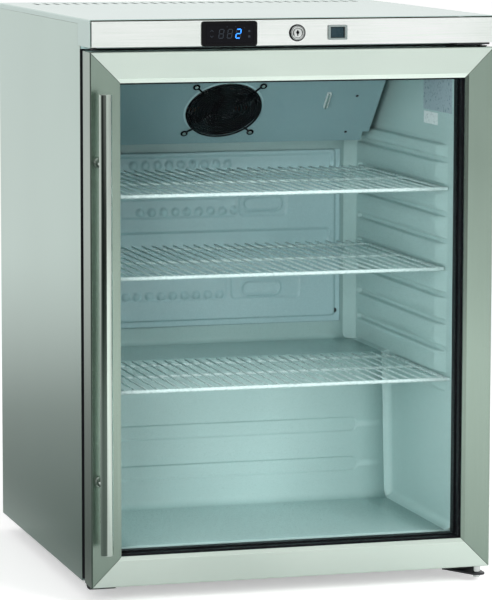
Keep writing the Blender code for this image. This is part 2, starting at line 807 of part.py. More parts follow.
def vents():
    """Cutters for the row of slots near the rear of the lid."""
    count = int((CABINET_WIDTH - 2 * VENT_MARGIN) / VENT_PITCH) + 1
    start = -(count - 1) * VENT_PITCH / 2
    back = REAR - VENT_INSET
    corners = []
    for index in range(count):
        middle = start + index * VENT_PITCH
        low = (middle - VENT_WIDTH / 2, back - VENT_LENGTH, TOP - SHEET - OVERRUN)
        corners.append((low, (middle + VENT_WIDTH / 2, back, TOP + OVERRUN)))
    return boxes("vent_slots", corners)


def control_fascia():
    """Folded front strip over the door: face, floor flange and a short top return."""
    low, high = FASCIA_FLOOR, TOP - SHEET - SHADOW_LINE
    back, t = FACE - FASCIA_SETBACK, FASCIA_SHEET
    side_view = [(DOOR_FRONT, low), (back, low), (back, low + t), (DOOR_FRONT + t, low + t),
                 (DOOR_FRONT + t, high - t), (DOOR_FRONT + FASCIA_RETURN, high - t),
                 (DOOR_FRONT + FASCIA_RETURN, high), (DOOR_FRONT, high)]
    fascia = prism("control_fascia", side_view, "X", -INNER_HALF, INNER_HALF, stainless())
    trim = HALF - SHEET - SHADOW_LINE
    ends = []
    for side in (-1, 1):
        near, far = sorted((side * trim, side * (HALF + OVERRUN)))
        start = (near, DOOR_FRONT - OVERRUN, low - OVERRUN)
        ends.append((start, (far, DOOR_FRONT + OVERRUN, high + OVERRUN)))
    window_half = (DISPLAY_BODY_WIDTH / 2 + GAP, DISPLAY_BODY_HEIGHT / 2 + GAP)
    window = rectangle(*window_half, 0, (DISPLAY_X, CONTROL_Z))
    switch_half = (SWITCH_BODY_WIDTH / 2 + GAP, SWITCH_BODY_HEIGHT / 2 + GAP)
    switch = rectangle(*switch_half, 0, (SWITCH_X, CONTROL_Z))
    through = (DOOR_FRONT - OVERRUN, DOOR_FRONT + t + OVERRUN)
    bore = LOCK_BARREL_RADIUS + GAP
    profile = [(bore, -OVERRUN), (bore, t + OVERRUN)]
    lock_hole = turned("lock_hole", profile, inward(LOCK_X, DOOR_FRONT, CONTROL_Z))
    slot = boxes("fascia_cam_slot", [cam_slot(FASCIA_FLOOR - OVERRUN, FASCIA_FLOOR + t + OVERRUN)])
    cut(fascia, boxes("fascia_ends", ends), prism("display_cutout", window, "Y", *through),
        prism("switch_cutout", switch, "Y", *through), lock_hole, slot)
    return fascia


# Controls

def cam_front():
    """Front plane of the lock cam."""
    return DOOR_FRONT + LOCK_BARREL_LENGTH + GAP


def cam_slot(low, high):
    """Box that the cam's swing needs between two heights."""
    left = LOCK_X - CAM_LENGTH - CAM_CLEARANCE
    right = LOCK_X + CAM_WIDTH / 2 + CAM_CLEARANCE
    front = cam_front() - CAM_CLEARANCE
    back = cam_front() + CAM_THICKNESS + CAM_CLEARANCE
    return (left, front, low), (right, back, high)


def controller():
    """Digital thermostat: a rounded bezel on the face and a body through the cut-out."""
    bezel_outline = rectangle(DISPLAY_WIDTH / 2, DISPLAY_HEIGHT / 2, DISPLAY_ROUND, (DISPLAY_X, CONTROL_Z))
    face = DOOR_FRONT - GAP
    bezel = prism("controller", bezel_outline, "Y", face - BEZEL_PROUD, face, black_plastic())
    round_edges(bezel, BEZEL_PROUD / 3, 2, lambda a, b: max(a.y, b.y) < face - BEZEL_PROUD / 2)
    body_outline = rectangle(DISPLAY_BODY_WIDTH / 2, DISPLAY_BODY_HEIGHT / 2, 0, (DISPLAY_X, CONTROL_Z))
    depths = (face - BEZEL_PROUD / 2, DOOR_FRONT + DISPLAY_BODY_DEPTH)
    body = prism("controller_body", body_outline, "Y", *depths)
    half_width = DISPLAY_WIDTH / 2 - DISPLAY_BORDER_ENDS + GAP
    half_height = DISPLAY_HEIGHT / 2 - DISPLAY_BORDER + GAP
    pocket = rectangle(half_width, half_height, DISPLAY_ROUND / 2, (DISPLAY_X, CONTROL_Z))
    weld(bezel, body)
    front = face - BEZEL_PROUD
    cut(bezel, prism("lens_pocket", pocket, "Y", front - OVERRUN, front + LENS_RECESS))
    return bezel


def display_lens():
    """Smoked window set in the bezel's recess."""
    half_width = DISPLAY_WIDTH / 2 - DISPLAY_BORDER_ENDS
    half_height = DISPLAY_HEIGHT / 2 - DISPLAY_BORDER
    outline = rectangle(half_width, half_height, DISPLAY_ROUND / 2 - GAP, (DISPLAY_X, CONTROL_Z))
    front = DOOR_FRONT - GAP - BEZEL_PROUD
    return prism("display_lens", outline, "Y", front + GAP, front + LENS_RECESS - GAP, smoked_lens())


def lock_housing():
    """Chrome ring and barrel with a through bore for the plug."""
    bore = LOCK_PLUG_RADIUS + GAP
    ring, barrel = LOCK_RING_RADIUS, LOCK_BARREL_RADIUS
    edge = LOCK_RING_PROUD / 3
    profile = [(bore, -LOCK_RING_PROUD), (ring - edge, -LOCK_RING_PROUD), (ring, -LOCK_RING_PROUD + edge),
               (ring, -GAP), (barrel, -GAP), (barrel, LOCK_BARREL_LENGTH), (bore, LOCK_BARREL_LENGTH)]
    frame = inward(LOCK_X, DOOR_FRONT, CONTROL_Z)
    return turned("lock_housing", profile, frame, bright_steel(), closed=True)


def lock_plug():
    """Key plug with its slot and a square tail; its origin is on its turning axis."""
    frame = Matrix.Rotation(-math.pi / 2, 4, "X")
    front, back = -LOCK_RING_PROUD + GAP, LOCK_BARREL_LENGTH
    plug = turned("lock_plug", [(LOCK_PLUG_RADIUS, front), (LOCK_PLUG_RADIUS, back)], frame, bright_steel())
    tail_end = back + CAM_THICKNESS + LOCK_TAIL_LENGTH
    tail = prism("lock_tail", rectangle(LOCK_TAIL / 2, LOCK_TAIL / 2), "Y", back - OVERRUN, tail_end)
    slot = prism("key_slot", rectangle(KEY_SLOT_WIDTH / 2, KEY_SLOT_LENGTH / 2), "Y",
                 front - OVERRUN, front + KEY_SLOT_DEPTH)
    weld(plug, tail)
    cut(plug, slot)
    for piece in (plug, tail, slot):
        piece.location = (LOCK_X, DOOR_FRONT, CONTROL_Z)
    return plug


def lock_cam():
    """Flat cam on the plug's square tail, pointing left while the door is unlocked."""
    half = CAM_WIDTH / 2
    arc = [(half * math.cos(t), half * math.sin(t)) for t in
           [-math.pi / 2 + math.pi * i / 8 for i in range(9)]]
    outline = arc + [(-CAM_LENGTH + half / 2, half), (-CAM_LENGTH, half / 2),
                     (-CAM_LENGTH, -half / 2), (-CAM_LENGTH + half / 2, -half)]
    depth = LOCK_BARREL_LENGTH + GAP
    cam = prism("lock_cam", outline, "Y", depth, depth + CAM_THICKNESS, bright_steel())
    hole = prism("cam_hole", rectangle(LOCK_TAIL / 2 + GAP, LOCK_TAIL / 2 + GAP), "Y",
                 depth - OVERRUN, depth + CAM_THICKNESS + OVERRUN)
    cut(cam, hole)
    for piece in (cam, hole):
        piece.location = (LOCK_X, DOOR_FRONT, CONTROL_Z)
    return cam


def switch_bezel():
    """Switch body with a framed well for the rocker."""
    centre = (SWITCH_X, CONTROL_Z)
    face = DOOR_FRONT - GAP
    outline = rectangle(SWITCH_WIDTH / 2, SWITCH_HEIGHT / 2, SWITCH_ROUND, centre)
    bezel = prism("switch_bezel", outline, "Y", face - BEZEL_PROUD, face, black_plastic())
    body = rectangle(SWITCH_BODY_WIDTH / 2, SWITCH_BODY_HEIGHT / 2, 0, centre)
    half_width = math.hypot(ROCKER_WIDTH / 2, ROCKER_CREST) + ROCKER_CLEARANCE
    well = rectangle(half_width, ROCKER_HEIGHT / 2 + ROCKER_CLEARANCE, 0, centre)
    floor = DOOR_FRONT + ROCKER_PIVOT_DEPTH + ROCKER_WIDTH / 2 + ROCKER_CLEARANCE
    weld(bezel, prism("switch_body", body, "Y", face - BEZEL_PROUD / 2, DOOR_FRONT + SWITCH_BODY_DEPTH))
    cut(bezel, prism("switch_well", well, "Y", face - BEZEL_PROUD - OVERRUN, floor))
    return bezel


def switch_rocker():
    """Rocker with a hollow face, left side pressed in; its origin is on its pivot."""
    half, crest, heel = ROCKER_WIDTH / 2, ROCKER_CREST, ROCKER_HEEL_DEPTH
    sag = crest / 2
    face = [(half * share, -crest + sag * (1 - share * share)) for share in (-1, -0.5, 0, 0.5, 1)]
    outline = face + [(half, 0), (half / 2, heel), (-half / 2, heel), (-half, 0)]
    turn = Matrix.Rotation(-ROCKER_TILT, 2)
    outline = [tuple(turn @ Vector(point)) for point in outline]
    rocker = prism("switch_rocker", outline, "Z", -ROCKER_HEIGHT / 2, ROCKER_HEIGHT / 2, rocker_plastic())
    rocker.location = (SWITCH_X, DOOR_FRONT + ROCKER_PIVOT_DEPTH, CONTROL_Z)
    return rocker


# Hinges

def upper_bracket():
    """Angle plate on the cabinet front that carries the top pin."""
    high = FASCIA_FLOOR - GAP
    low = high - BRACKET_SHEET
    front, back = HINGE_Y - BRACKET_NOSE, FACE - GAP
    side_view = [(front, low), (back, low), (back, low + BRACKET_UPRIGHT),
                 (back - BRACKET_SHEET, low + BRACKET_UPRIGHT), (back - BRACKET_SHEET, high), (front, high)]
    right = INNER_HALF - BRACKET_SHEET
    bracket = prism("upper_hinge_bracket", side_view, "X", right - BRACKET_WIDTH, right, black_wire())
    bore = PIN_RADIUS + GAP
    hole = turned("upper_pin_hole", [(bore, -OVERRUN), (bore, BRACKET_SHEET + OVERRUN)],
                  upright(HINGE_X, HINGE_Y, low))
    cut(bracket, hole)
    return bracket


def lower_bracket():
    """Cranked plate: screwed under the cabinet, stepping down and tapering forward under the door."""
    leaf_high = BASE - LOWER_BRACKET_DROP
    leaf_low = leaf_high - BRACKET_SHEET
    right = HALF - SHEET
    left = right - BRACKET_WIDTH
    web = FACE + BRACKET_SHEET
    nose = HINGE_Y - BRACKET_NOSE
    plan = [(left, web), (right - LOWER_BRACKET_NOSE, nose), (right, nose), (right, web)]
    leaf = prism("lower_hinge_bracket", plan, "Z", leaf_low, leaf_high, black_wire())
    top = BASE - GAP
    back, under = web + LOWER_BRACKET_LEAF, top - BRACKET_SHEET
    crank = [(web - GAP, leaf_low), (web + BRACKET_SHEET, leaf_low), (web + BRACKET_SHEET, under),
             (back, under), (back, top), (web - GAP, top)]
    bore = PIN_RADIUS + GAP
    hole = turned("lower_pin_hole", [(bore, -OVERRUN), (bore, BRACKET_SHEET + OVERRUN)],
                  upright(HINGE_X, HINGE_Y, leaf_low))
    weld(leaf, prism("bracket_crank", crank, "X", left, right))
    cut(leaf, hole)
    return leaf


def upper_pin():
    """Plain pin riveted in the upper bracket, reaching down into the door's bush."""
    high = FASCIA_FLOOR - 2 * GAP
    profile = [(PIN_RADIUS, DOOR_TOP - PIN_ENGAGEMENT + GAP), (PIN_RADIUS, high)]
    return turned("upper_hinge_pin", profile, upright(HINGE_X, HINGE_Y, 0), bright_steel(), SMALL_STEPS)


def lower_pin():
    """Pin with a collar that carries the door and a nut under the bracket."""
    leaf_high = BASE - LOWER_BRACKET_DROP
    leaf_low = leaf_high - BRACKET_SHEET
    nut_top = leaf_low - GAP
    collar_top = BASE - BUSH_FLANGE - GAP
    profile = [(PIN_NUT_RADIUS, nut_top - PIN_NUT_HEIGHT), (PIN_NUT_RADIUS, nut_top), (PIN_RADIUS, nut_top),
               (PIN_RADIUS, leaf_high + GAP), (COLLAR_RADIUS, leaf_high + GAP), (COLLAR_RADIUS, collar_top),
               (PIN_RADIUS, collar_top), (PIN_RADIUS, BASE + PIN_ENGAGEMENT - GAP)]
    return turned("lower_hinge_pin", profile, upright(HINGE_X, HINGE_Y, 0), bright_steel(), SMALL_STEPS)


def hinge_bush(name, edge, inwards):
    """Flanged plastic bush in the door's edge; inwards is the sign of Z into the door."""
    bore = PIN_RADIUS + PIN_CLEARANCE
    sleeve = bore + BUSH_WALL
    seat, outer, end = edge - inwards * GAP, edge - inwards * BUSH_FLANGE, edge + inwards * PIN_ENGAGEMENT
    profile = [(bore, outer), (BUSH_FLANGE_RADIUS, outer), (BUSH_FLANGE_RADIUS, seat), (sleeve, seat),
               (sleeve, end), (bore, end)]
    return turned(name, profile, upright(HINGE_X, HINGE_Y, 0), black_plastic(), SMALL_STEPS, closed=True)


def bush_bore(name, edge, inwards):
    """Cutter for a bush's seat in the door frame."""
    radius = PIN_RADIUS + PIN_CLEARANCE + BUSH_WALL + GAP
    ends = sorted((edge - inwards * OVERRUN, edge + inwards * (PIN_ENGAGEMENT + GAP)))
    profile = [(radius, end) for end in ends]
    return turned(name, profile, upright(HINGE_X, HINGE_Y, 0), steps=SMALL_STEPS)


# Door

def frame_profile():
    """Section of the door frame: inset from the outer edge, and depth behind the face."""
    r = FRAME_EDGE_ROUND
    arc = [(r - r * math.sin(t), r - r * math.cos(t)) for t in (math.pi / 2, math.pi / 4, 0)]
    ledge = FRAME_FACE - FRAME_REBATE
    root_a, root_b = gasket_root()
    return arc + [(FRAME_FACE - FRAME_BEVEL, 0), (FRAME_FACE, FRAME_BEVEL_DEPTH), (FRAME_FACE, FRAME_LIP),
                  (ledge, FRAME_LIP), (ledge, DOOR_THICKNESS), (root_b, DOOR_THICKNESS),
                  (root_b, DOOR_THICKNESS - GASKET_ROOT_DEPTH - GAP),
                  (root_a, DOOR_THICKNESS - GASKET_ROOT_DEPTH - GAP), (root_a, DOOR_THICKNESS),
                  (0, DOOR_THICKNESS)]


def gasket_root():
    """Insets of the groove that holds the seal's root."""
    middle = GASKET_INSET + GASKET_WIDTH / 2
    return middle - GASKET_ROOT_WIDTH / 2 - GAP, middle + GASKET_ROOT_WIDTH / 2 + GAP


def frame_member(name, side):
    """One mitred frame member on the left, right, low or high side of the door."""
    shift = GAP / math.sqrt(2)
    rings = []
    for end in (0, 1):
        ring = []
        for inset, depth in frame_profile():
            y = DOOR_FRONT + depth
            if side in ("left", "right"):
                x = (-1 if side == "left" else 1) * (HALF - inset)
                z = (BASE + inset + shift, DOOR_TOP - inset - shift)[end]
            else:
                x = (-HALF + inset + shift, HALF - inset - shift)[end]
                z = BASE + inset if side == "low" else DOOR_TOP - inset
            ring.append((x, y, z))
        rings.append(ring)
    builder = bmesh.new()
    add_ring_sweep(builder, rings, False)
    return finish(name, builder, stainless())


def door_ring(name, profile, material):
    """A section of (inset, depth) carried round the door, mitred at the corners."""
    rings = []
    for a, b in ((-1, 0), (1, 0), (1, 1), (-1, 1)):
        ring = []
        for inset, depth in profile:
            z = DOOR_TOP - inset if b else BASE + inset
            ring.append((a * (HALF - inset), DOOR_FRONT + depth, z))
        rings.append(ring)
    builder = bmesh.new()
    add_ring_sweep(builder, rings, True)
    return finish(name, builder, material)


def pane_front(index):
    """Depth of a pane's front behind the door face; 0 is the outer pane."""
    return FRAME_LIP + GAP + index * (GLASS_THICKNESS + GLASS_SPACE)


def glass_pane(name, index):
    """One toughened pane of the sealed unit."""
    inset = FRAME_FACE - FRAME_REBATE + GAP
    front = DOOR_FRONT + pane_front(index)
    low = (-HALF + inset, front, BASE + inset)
    return boxes(name, [(low, (HALF - inset, front + GLASS_THICKNESS, DOOR_TOP - inset))], glass())


def spacer_frame():
    """Black spacer that seals the two panes apart."""
    outer, inner = FRAME_FACE - FRAME_REBATE + GAP, FRAME_FACE
    front = pane_front(0) + GLASS_THICKNESS + GAP
    back = pane_front(1) - GAP
    return door_ring("spacer_frame", [(outer, front), (inner, front), (inner, back), (outer, back)],
                     black_plastic())


def glazing_frame():
    """Black inner frame that clamps the glass from behind."""
    outer, inner = FRAME_FACE - FRAME_REBATE + GAP, FRAME_FACE
    front = pane_front(1) + GLASS_THICKNESS + GAP
    chamfer = FRAME_BEVEL_DEPTH
    profile = [(outer, front), (inner, front), (inner, DOOR_THICKNESS - chamfer),
               (inner - chamfer, DOOR_THICKNESS), (outer, DOOR_THICKNESS)]
    return door_ring("glazing_frame", profile, black_plastic())


def door_gasket():
    """Bellows seal: a root in the frame's groove, a waist and a magnet pocket on the cabinet."""
    root_a, root_b = gasket_root()
    a, b = GASKET_INSET, GASKET_INSET + GASKET_WIDTH
    seat = DOOR_THICKNESS + GAP
    end = DOOR_THICKNESS + GASKET_DEPTH - GAP
    rise = GASKET_DEPTH / 4
    waist = GASKET_WIDTH / 6
    root = DOOR_THICKNESS - GASKET_ROOT_DEPTH
    profile = [(root_a + GAP, root), (root_b - GAP, root),
               (root_b - GAP, seat), (b, seat), (b, seat + rise), (b - waist, seat + 2 * rise),
               (b, end - rise), (b, end), (a, end), (a, end - rise), (a + waist, seat + 2 * rise),
               (a, seat + rise), (a, seat),
               (root_a + GAP, seat)]
    return door_ring("door_gasket", profile, gasket_rubber())


def buffer_pad():
    """Small rubber pad under the fascia's left end that the door's top just clears."""
    high = FASCIA_FLOOR - GAP
    left = -HALF + BUFFER_INSET
    front = DOOR_FRONT + BUFFER_SETBACK
    low = (left, front, high - BUFFER_HEIGHT)
    return boxes("buffer_pad", [(low, (left + BUFFER_WIDTH, front + BUFFER_LENGTH, high))], gasket_rubber())


def corner_bumper():
    """Small black moulded pad under the free lower corner of the door."""
    top = BASE - GAP
    depth = DOOR_THICKNESS - 2 * FRAME_EDGE_ROUND
    outline = [(0, 0), (depth, 0), (depth, -BUMPER_DROP / 2), (depth - BUMPER_DROP, -BUMPER_DROP),
               (depth / 2, -BUMPER_DROP * BUMPER_BELLY_SHARE), (0, -BUMPER_DROP / 6)]
    side_view = [(DOOR_FRONT + FRAME_EDGE_ROUND + a, top + b) for a, b in outline]
    left = -HALF + FRAME_EDGE_ROUND
    return prism("corner_bumper", side_view, "X", left, left + BUMPER_LENGTH, black_plastic())


def handle_bar():
    """Straight round bar with eased ends."""
    r, e = HANDLE_DIAMETER / 2, HANDLE_EDGE
    low = BASE + HANDLE_BASE
    profile = [(r - e, low), (r, low + e), (r, low + HANDLE_LENGTH - e), (r - e, low + HANDLE_LENGTH)]
    frame = upright(-HALF + HANDLE_INSET, DOOR_FRONT - HANDLE_STANDOFF, 0)
    return turned("handle_bar", profile, frame, stainless())


def handle_post(name, level):
    """Post with a wider foot on the door; its head is hollowed to fit the bar."""
    foot, r = POST_FOOT_RADIUS, POST_RADIUS
    x, y = -HALF + HANDLE_INSET, DOOR_FRONT - HANDLE_STANDOFF
    shoulder = HANDLE_STANDOFF - POST_FOOT
    profile = [(foot, HANDLE_STANDOFF - GAP), (foot, shoulder), (r, shoulder), (r, 0)]
    post = turned(name, profile, inward(x, y, level), bright_steel())
    saddle = HANDLE_DIAMETER / 2 + GAP
    tool = turned(name + "_saddle", [(saddle, -2 * POST_FOOT_RADIUS), (saddle, 2 * POST_FOOT_RADIUS)],
                  upright(x, y, level), steps=2 * ROUND_STEPS)
    cut(post, tool)
    return post


def door():
    """Every piece that swings with the door, parented to an empty on the hinge axis."""
    stiles = [frame_member("stile_left", "left"), frame_member("stile_right", "right")]
    rails = [frame_member("rail_top", "high"), frame_member("rail_bottom", "low")]
    cut(rails[0], boxes("rail_cam_slot", [cam_slot(DOOR_TOP - 2 * CAM_WIDTH, DOOR_TOP + OVERRUN)]))
    for member in (stiles[1], rails[0]):
        cut(member, bush_bore(member.name + "_upper_bore", DOOR_TOP, -1))
    for member in (stiles[1], rails[1]):
        cut(member, bush_bore(member.name + "_lower_bore", BASE, 1))
    low = BASE + HANDLE_BASE
    pieces = stiles + rails + [
        glass_pane("glass_outer", 0), glass_pane("glass_inner", 1), spacer_frame(), glazing_frame(),
        door_gasket(), corner_bumper(), handle_bar(), handle_post("handle_post_lower", low + POST_INSET),
        handle_post("handle_post_upper", low + HANDLE_LENGTH - POST_INSET),
        hinge_bush("upper_hinge_bush", DOOR_TOP, -1), hinge_bush("lower_hinge_bush", BASE, 1)]
    axis = bpy.data.objects.new("door_hinge", None)
    axis.location = (HINGE_X, HINGE_Y, BASE)
    bpy.context.scene.collection.objects.link(axis)
    for piece in pieces:
        piece.parent = axis
        piece.matrix_parent_inverse = Matrix.Translation(-axis.location)
    return pieces


# Evaporator box

def slope_angle():
    """Angle of the evaporator cover's face to the horizontal."""
    return math.atan2(CEILING_HEIGHT - SLOPE_FOOT_HEIGHT, SLOPE_FOOT - SLOPE_HEAD)


def slope_frame(up_slope, x=0.0):
    """Frame on the cover's face: X to the right, Y up the slope, Z out into the food space."""
    angle = slope_angle()
    ahead = Vector((0, -math.cos(angle), math.sin(angle)))
    normal = Vector((1, 0, 0)).cross(ahead)
    foot = Vector((x, FACE + SLOPE_FOOT, BASE + SLOPE_FOOT_HEIGHT)) + ahead * up_slope
    return Matrix.Translation(foot) @ Matrix((Vector((1, 0, 0)), ahead, normal)).transposed().to_4x4()


def evaporator_cover():
    """Sloped sheet cover with side cheeks and a floor; the fan draws through its round opening."""
    foot_y, foot_z = FACE + SLOPE_FOOT, BASE + SLOPE_FOOT_HEIGHT
    head_y, back, top = FACE + SLOPE_HEAD, BACK_WALL - GAP, CEILING - GAP
    chamfer = HUMP_ROUND
    outline = [(head_y, top), (foot_y, foot_z), (back, foot_z), (back, top - chamfer), (back - chamfer, top)]
    cover = prism("evaporator_cover", outline, "X", -COVER_HALF_WIDTH, COVER_HALF_WIDTH, painted_cover())
    t = COVER_SHEET
    slant = t / math.sin(slope_angle())
    reach = OVERRUN / math.tan(slope_angle())
    corner_y = foot_y + slant - t / math.tan(slope_angle())
    inner = [(head_y + slant - reach, top + OVERRUN), (corner_y, foot_z + t), (back + OVERRUN, foot_z + t),
             (back + OVERRUN, top + OVERRUN)]
    half = COVER_HALF_WIDTH
    hollow = prism("cover_inside", inner, "X", -half + t, half - t)
    notches = []
    for side in (-1, 1):
        near, far = sorted((side * (half - COVER_NOTCH), side * (half + OVERRUN)))
        notches.append(((near, head_y, foot_z - OVERRUN), (far, back + OVERRUN, foot_z + COVER_NOTCH_RISE)))
    r = FAN_OPENING_RADIUS
    opening = turned("fan_opening", [(r, -2 * OVERRUN), (r, OVERRUN)], slope_frame(FAN_UP_SLOPE), steps=40)
    cut(cover, hollow, boxes("cover_notches", notches), opening)
    return cover


def fan_frame():
    """Square axial fan housing with a round duct, four arms and the motor hub."""
    frame = slope_frame(FAN_UP_SLOPE)
    front = -COVER_SHEET - GAP
    back = front - FAN_DEPTH
    half = FAN_SIZE / 2
    housing = prism("fan_frame", rectangle(half, half, half / 10), "Z", back, front, black_plastic())
    r = FAN_DUCT_RADIUS
    duct = turned("fan_duct", [(r, back - OVERRUN), (r, front + OVERRUN)], Matrix())
    hub_top = back + FAN_HUB_DEPTH
    hub = turned("motor_hub", [(FAN_HUB_RADIUS, back), (FAN_HUB_RADIUS, hub_top)], Matrix())
    r = FAN_AXLE_RADIUS
    axle = turned("motor_axle", [(r, back + FAN_ARM_DEPTH), (r, front - FAN_ARM_DEPTH)], Matrix(), steps=12)
    reach = FAN_DUCT_RADIUS + BLADE_THICKNESS
    bars = [((-reach, -FAN_ARM / 2, back), (reach, FAN_ARM / 2, back + FAN_ARM_DEPTH))]
    across = [((-FAN_ARM / 2, -reach, back), (FAN_ARM / 2, reach, back + FAN_ARM_DEPTH))]
    tools = [duct, boxes("fan_arm_level", bars), boxes("fan_arm_upright", across), hub, axle]
    cut(housing, duct)
    weld(housing, *tools[1:])
    for piece in [housing] + tools:
        piece.matrix_world = frame
    return housing


def blade_ring(radius, share):
    """Section of a fan blade at a radius, pitched less towards the tip."""
    pitch = BLADE_PITCH_ROOT * (1 - share) + BLADE_PITCH_TIP * share
    half_chord, half_thick = BLADE_CHORD / 2 * (1 + share / 2), BLADE_THICKNESS / 2
    section = [(-half_chord, -half_thick / 2), (0, -half_thick), (half_chord, -half_thick / 2),
               (half_chord, half_thick / 2), (0, half_thick + half_chord / 6), (-half_chord, half_thick / 2)]
    ring = []
    for a, b in section:
        along = a * math.cos(pitch) - b * math.sin(pitch)
        height = a * math.sin(pitch) + b * math.cos(pitch)
        turn = along / radius
        ring.append((radius * math.cos(turn), radius * math.sin(turn), height))
    return ring


def fan_rotor():
    """Moulded rotor: a cup hub on the motor and seven twisted blades; its origin is on its axis."""
    front = -COVER_SHEET - GAP - FAN_ARM_DEPTH
    low = -COVER_SHEET - GAP - FAN_DEPTH + FAN_HUB_DEPTH + FAN_ARM_DEPTH / 2
    bore = FAN_AXLE_RADIUS + PIN_CLEARANCE
    profile = [(bore, low), (FAN_HUB_RADIUS, low), (FAN_HUB_RADIUS, front - GAP), (bore, front - GAP)]
    rotor = turned("fan_rotor", profile, Matrix(), black_plastic(), closed=True)
    middle = (low + front) / 2
    builder = bmesh.new()
    for index in range(BLADE_COUNT):
        turn = Matrix.Rotation(2 * math.pi * index / BLADE_COUNT, 4, "Z") @ upright(0, 0, middle)
        rings = []
        for share in (0, 0.5, 1):
            radius = FAN_HUB_RADIUS * BLADE_ROOT_SHARE * (1 - share) + BLADE_RADIUS * share
            rings.append([turn @ Vector(point) for point in blade_ring(radius, share)])
        add_ring_sweep(builder, rings, False)
    blades = finish("fan_blades", builder, None)
    weld(rotor, blades)
    for piece in (rotor, blades):
        piece.matrix_world = slope_frame(FAN_UP_SLOPE)
    return rotor


def guard_ring(builder, x, y, radius, z, steps):
    """Add one ring of guard wire."""
    rings = []
    for a, b in circle(1, steps):
        section = circle(GUARD_WIRE, 4, math.pi / 4)
        rings.append([(x + a * (radius + p), y + b * (radius + p), z + q) for p, q in section])
    add_ring_sweep(builder, rings, True)


def fan_guard():
    """Black wire guard: rings on two crossed legs whose ends curl into screw loops."""
    builder = bmesh.new()
    high = GUARD_STANDOFF
    for share in GUARD_RING_SHARES:
        guard_ring(builder, 0, 0, FAN_OPENING_RADIUS * share, high, 20)
    guard = finish("fan_guard", builder, black_wire())
    corner = GUARD_HOLE_SPACING / 2
    low = GUARD_WIRE + GAP
    tools = []
    reach = corner * math.sqrt(2) - GUARD_LOOP_RADIUS
    for index in (0, 1):
        turn = Matrix.Rotation(math.pi / 4 + index * math.pi / 2, 4, "Z")
        drop = reach - high - GUARD_LOOP_RADIUS
        lift = high - GUARD_WIRE * GUARD_LIFT_SHARES[index]
        points = [(-reach, 0, low), (-drop, 0, low), (-drop + high, 0, lift), (drop - high, 0, lift),
                  (drop, 0, low), (reach, 0, low)]
        tools.append(tube("guard_leg_%d" % index, [turn @ Vector(p) for p in points], GUARD_WIRE, 6))
    loops = bmesh.new()
    for a in (-1, 1):
        for b in (-1, 1):
            guard_ring(loops, a * corner, b * corner, GUARD_LOOP_RADIUS, low, 8)
    tools.append(finish("guard_loops", loops, None))
    weld(guard, *tools)
    for piece in [guard] + tools:
        piece.matrix_world = slope_frame(FAN_UP_SLOPE)
    return guard


def evaporator_coil():
    """Finned block hung behind the fan, its fins open towards the fan."""
    back = BACK_WALL - EVAPORATOR_BACK_SPACE
    front = back - EVAPORATOR_DEPTH
    root = back - EVAPORATOR_DEPTH * FIN_ROOT_SHARE
    pitch = (2 * EVAPORATOR_HALF_WIDTH - FIN_WIDTH) / (FIN_COUNT - 1)
    plan = [(-EVAPORATOR_HALF_WIDTH, back)]
    for index in range(FIN_COUNT):
        left = -EVAPORATOR_HALF_WIDTH + index * pitch
        if index:
            plan.append((left, root))
        plan += [(left, front), (left + FIN_WIDTH, front)]
        if index < FIN_COUNT - 1:
            plan.append((left + FIN_WIDTH, root))
    plan.append((EVAPORATOR_HALF_WIDTH, back))
    high = CEILING - GAP
    return prism("evaporator_coil", plan, "Z", high - EVAPORATOR_HEIGHT, high, aluminium())


def drip_tray():
    """Open tray on the cover's floor that catches defrost water."""
    low = BASE + SLOPE_FOOT_HEIGHT + COVER_SHEET + GAP
    front = FACE + SLOPE_FOOT + TRAY_FRONT_SPACE
    back = BACK_WALL - 2 * GAP
    half = COVER_HALF_WIDTH - COVER_NOTCH - COVER_SHEET - GAP
    tray = boxes("drip_tray", [((-half, front, low), (half, back, low + TRAY_HEIGHT))], painted_cover())
    t = TRAY_SHEET
    hollow = ((-half + t, front + t, low + t), (half - t, back - t, low + TRAY_HEIGHT + OVERRUN))
    cut(tray, boxes("tray_inside", [hollow]))
    return tray


def probe_clip():
    """Small clip on the cover's face that holds the temperature probe."""
    w, t, h = CLIP_WIDTH / 2, CLIP_SHEET, CLIP_HEIGHT
    floor = GAP + t
    outline = [(-w, GAP), (w, GAP), (w, h), (w - t, h), (w - t, floor), (t - w, floor), (t - w, h), (-w, h)]
    clip = prism("probe_clip", outline, "Y", -CLIP_LENGTH / 2, CLIP_LENGTH / 2, painted_cover())
    clip.matrix_world = slope_frame(CLIP_UP_SLOPE, CLIP_X)
    return clip


def lamp_housing():
    """Shallow lamp under the ceiling, just behind the door."""
    front = FACE + LAMP_SETBACK
    high, low = CEILING - GAP, CEILING - LAMP_HEIGHT
    edge = LAMP_HEIGHT / 2
    side_view = [(front, high), (front, high - edge), (front + edge, low), (front + LAMP_WIDTH - edge, low),
                 (front + LAMP_WIDTH, high - edge), (front + LAMP_WIDTH, high)]
    return prism("lamp_housing", side_view, "X", -LAMP_LENGTH / 2, LAMP_LENGTH / 2, lamp_plastic())


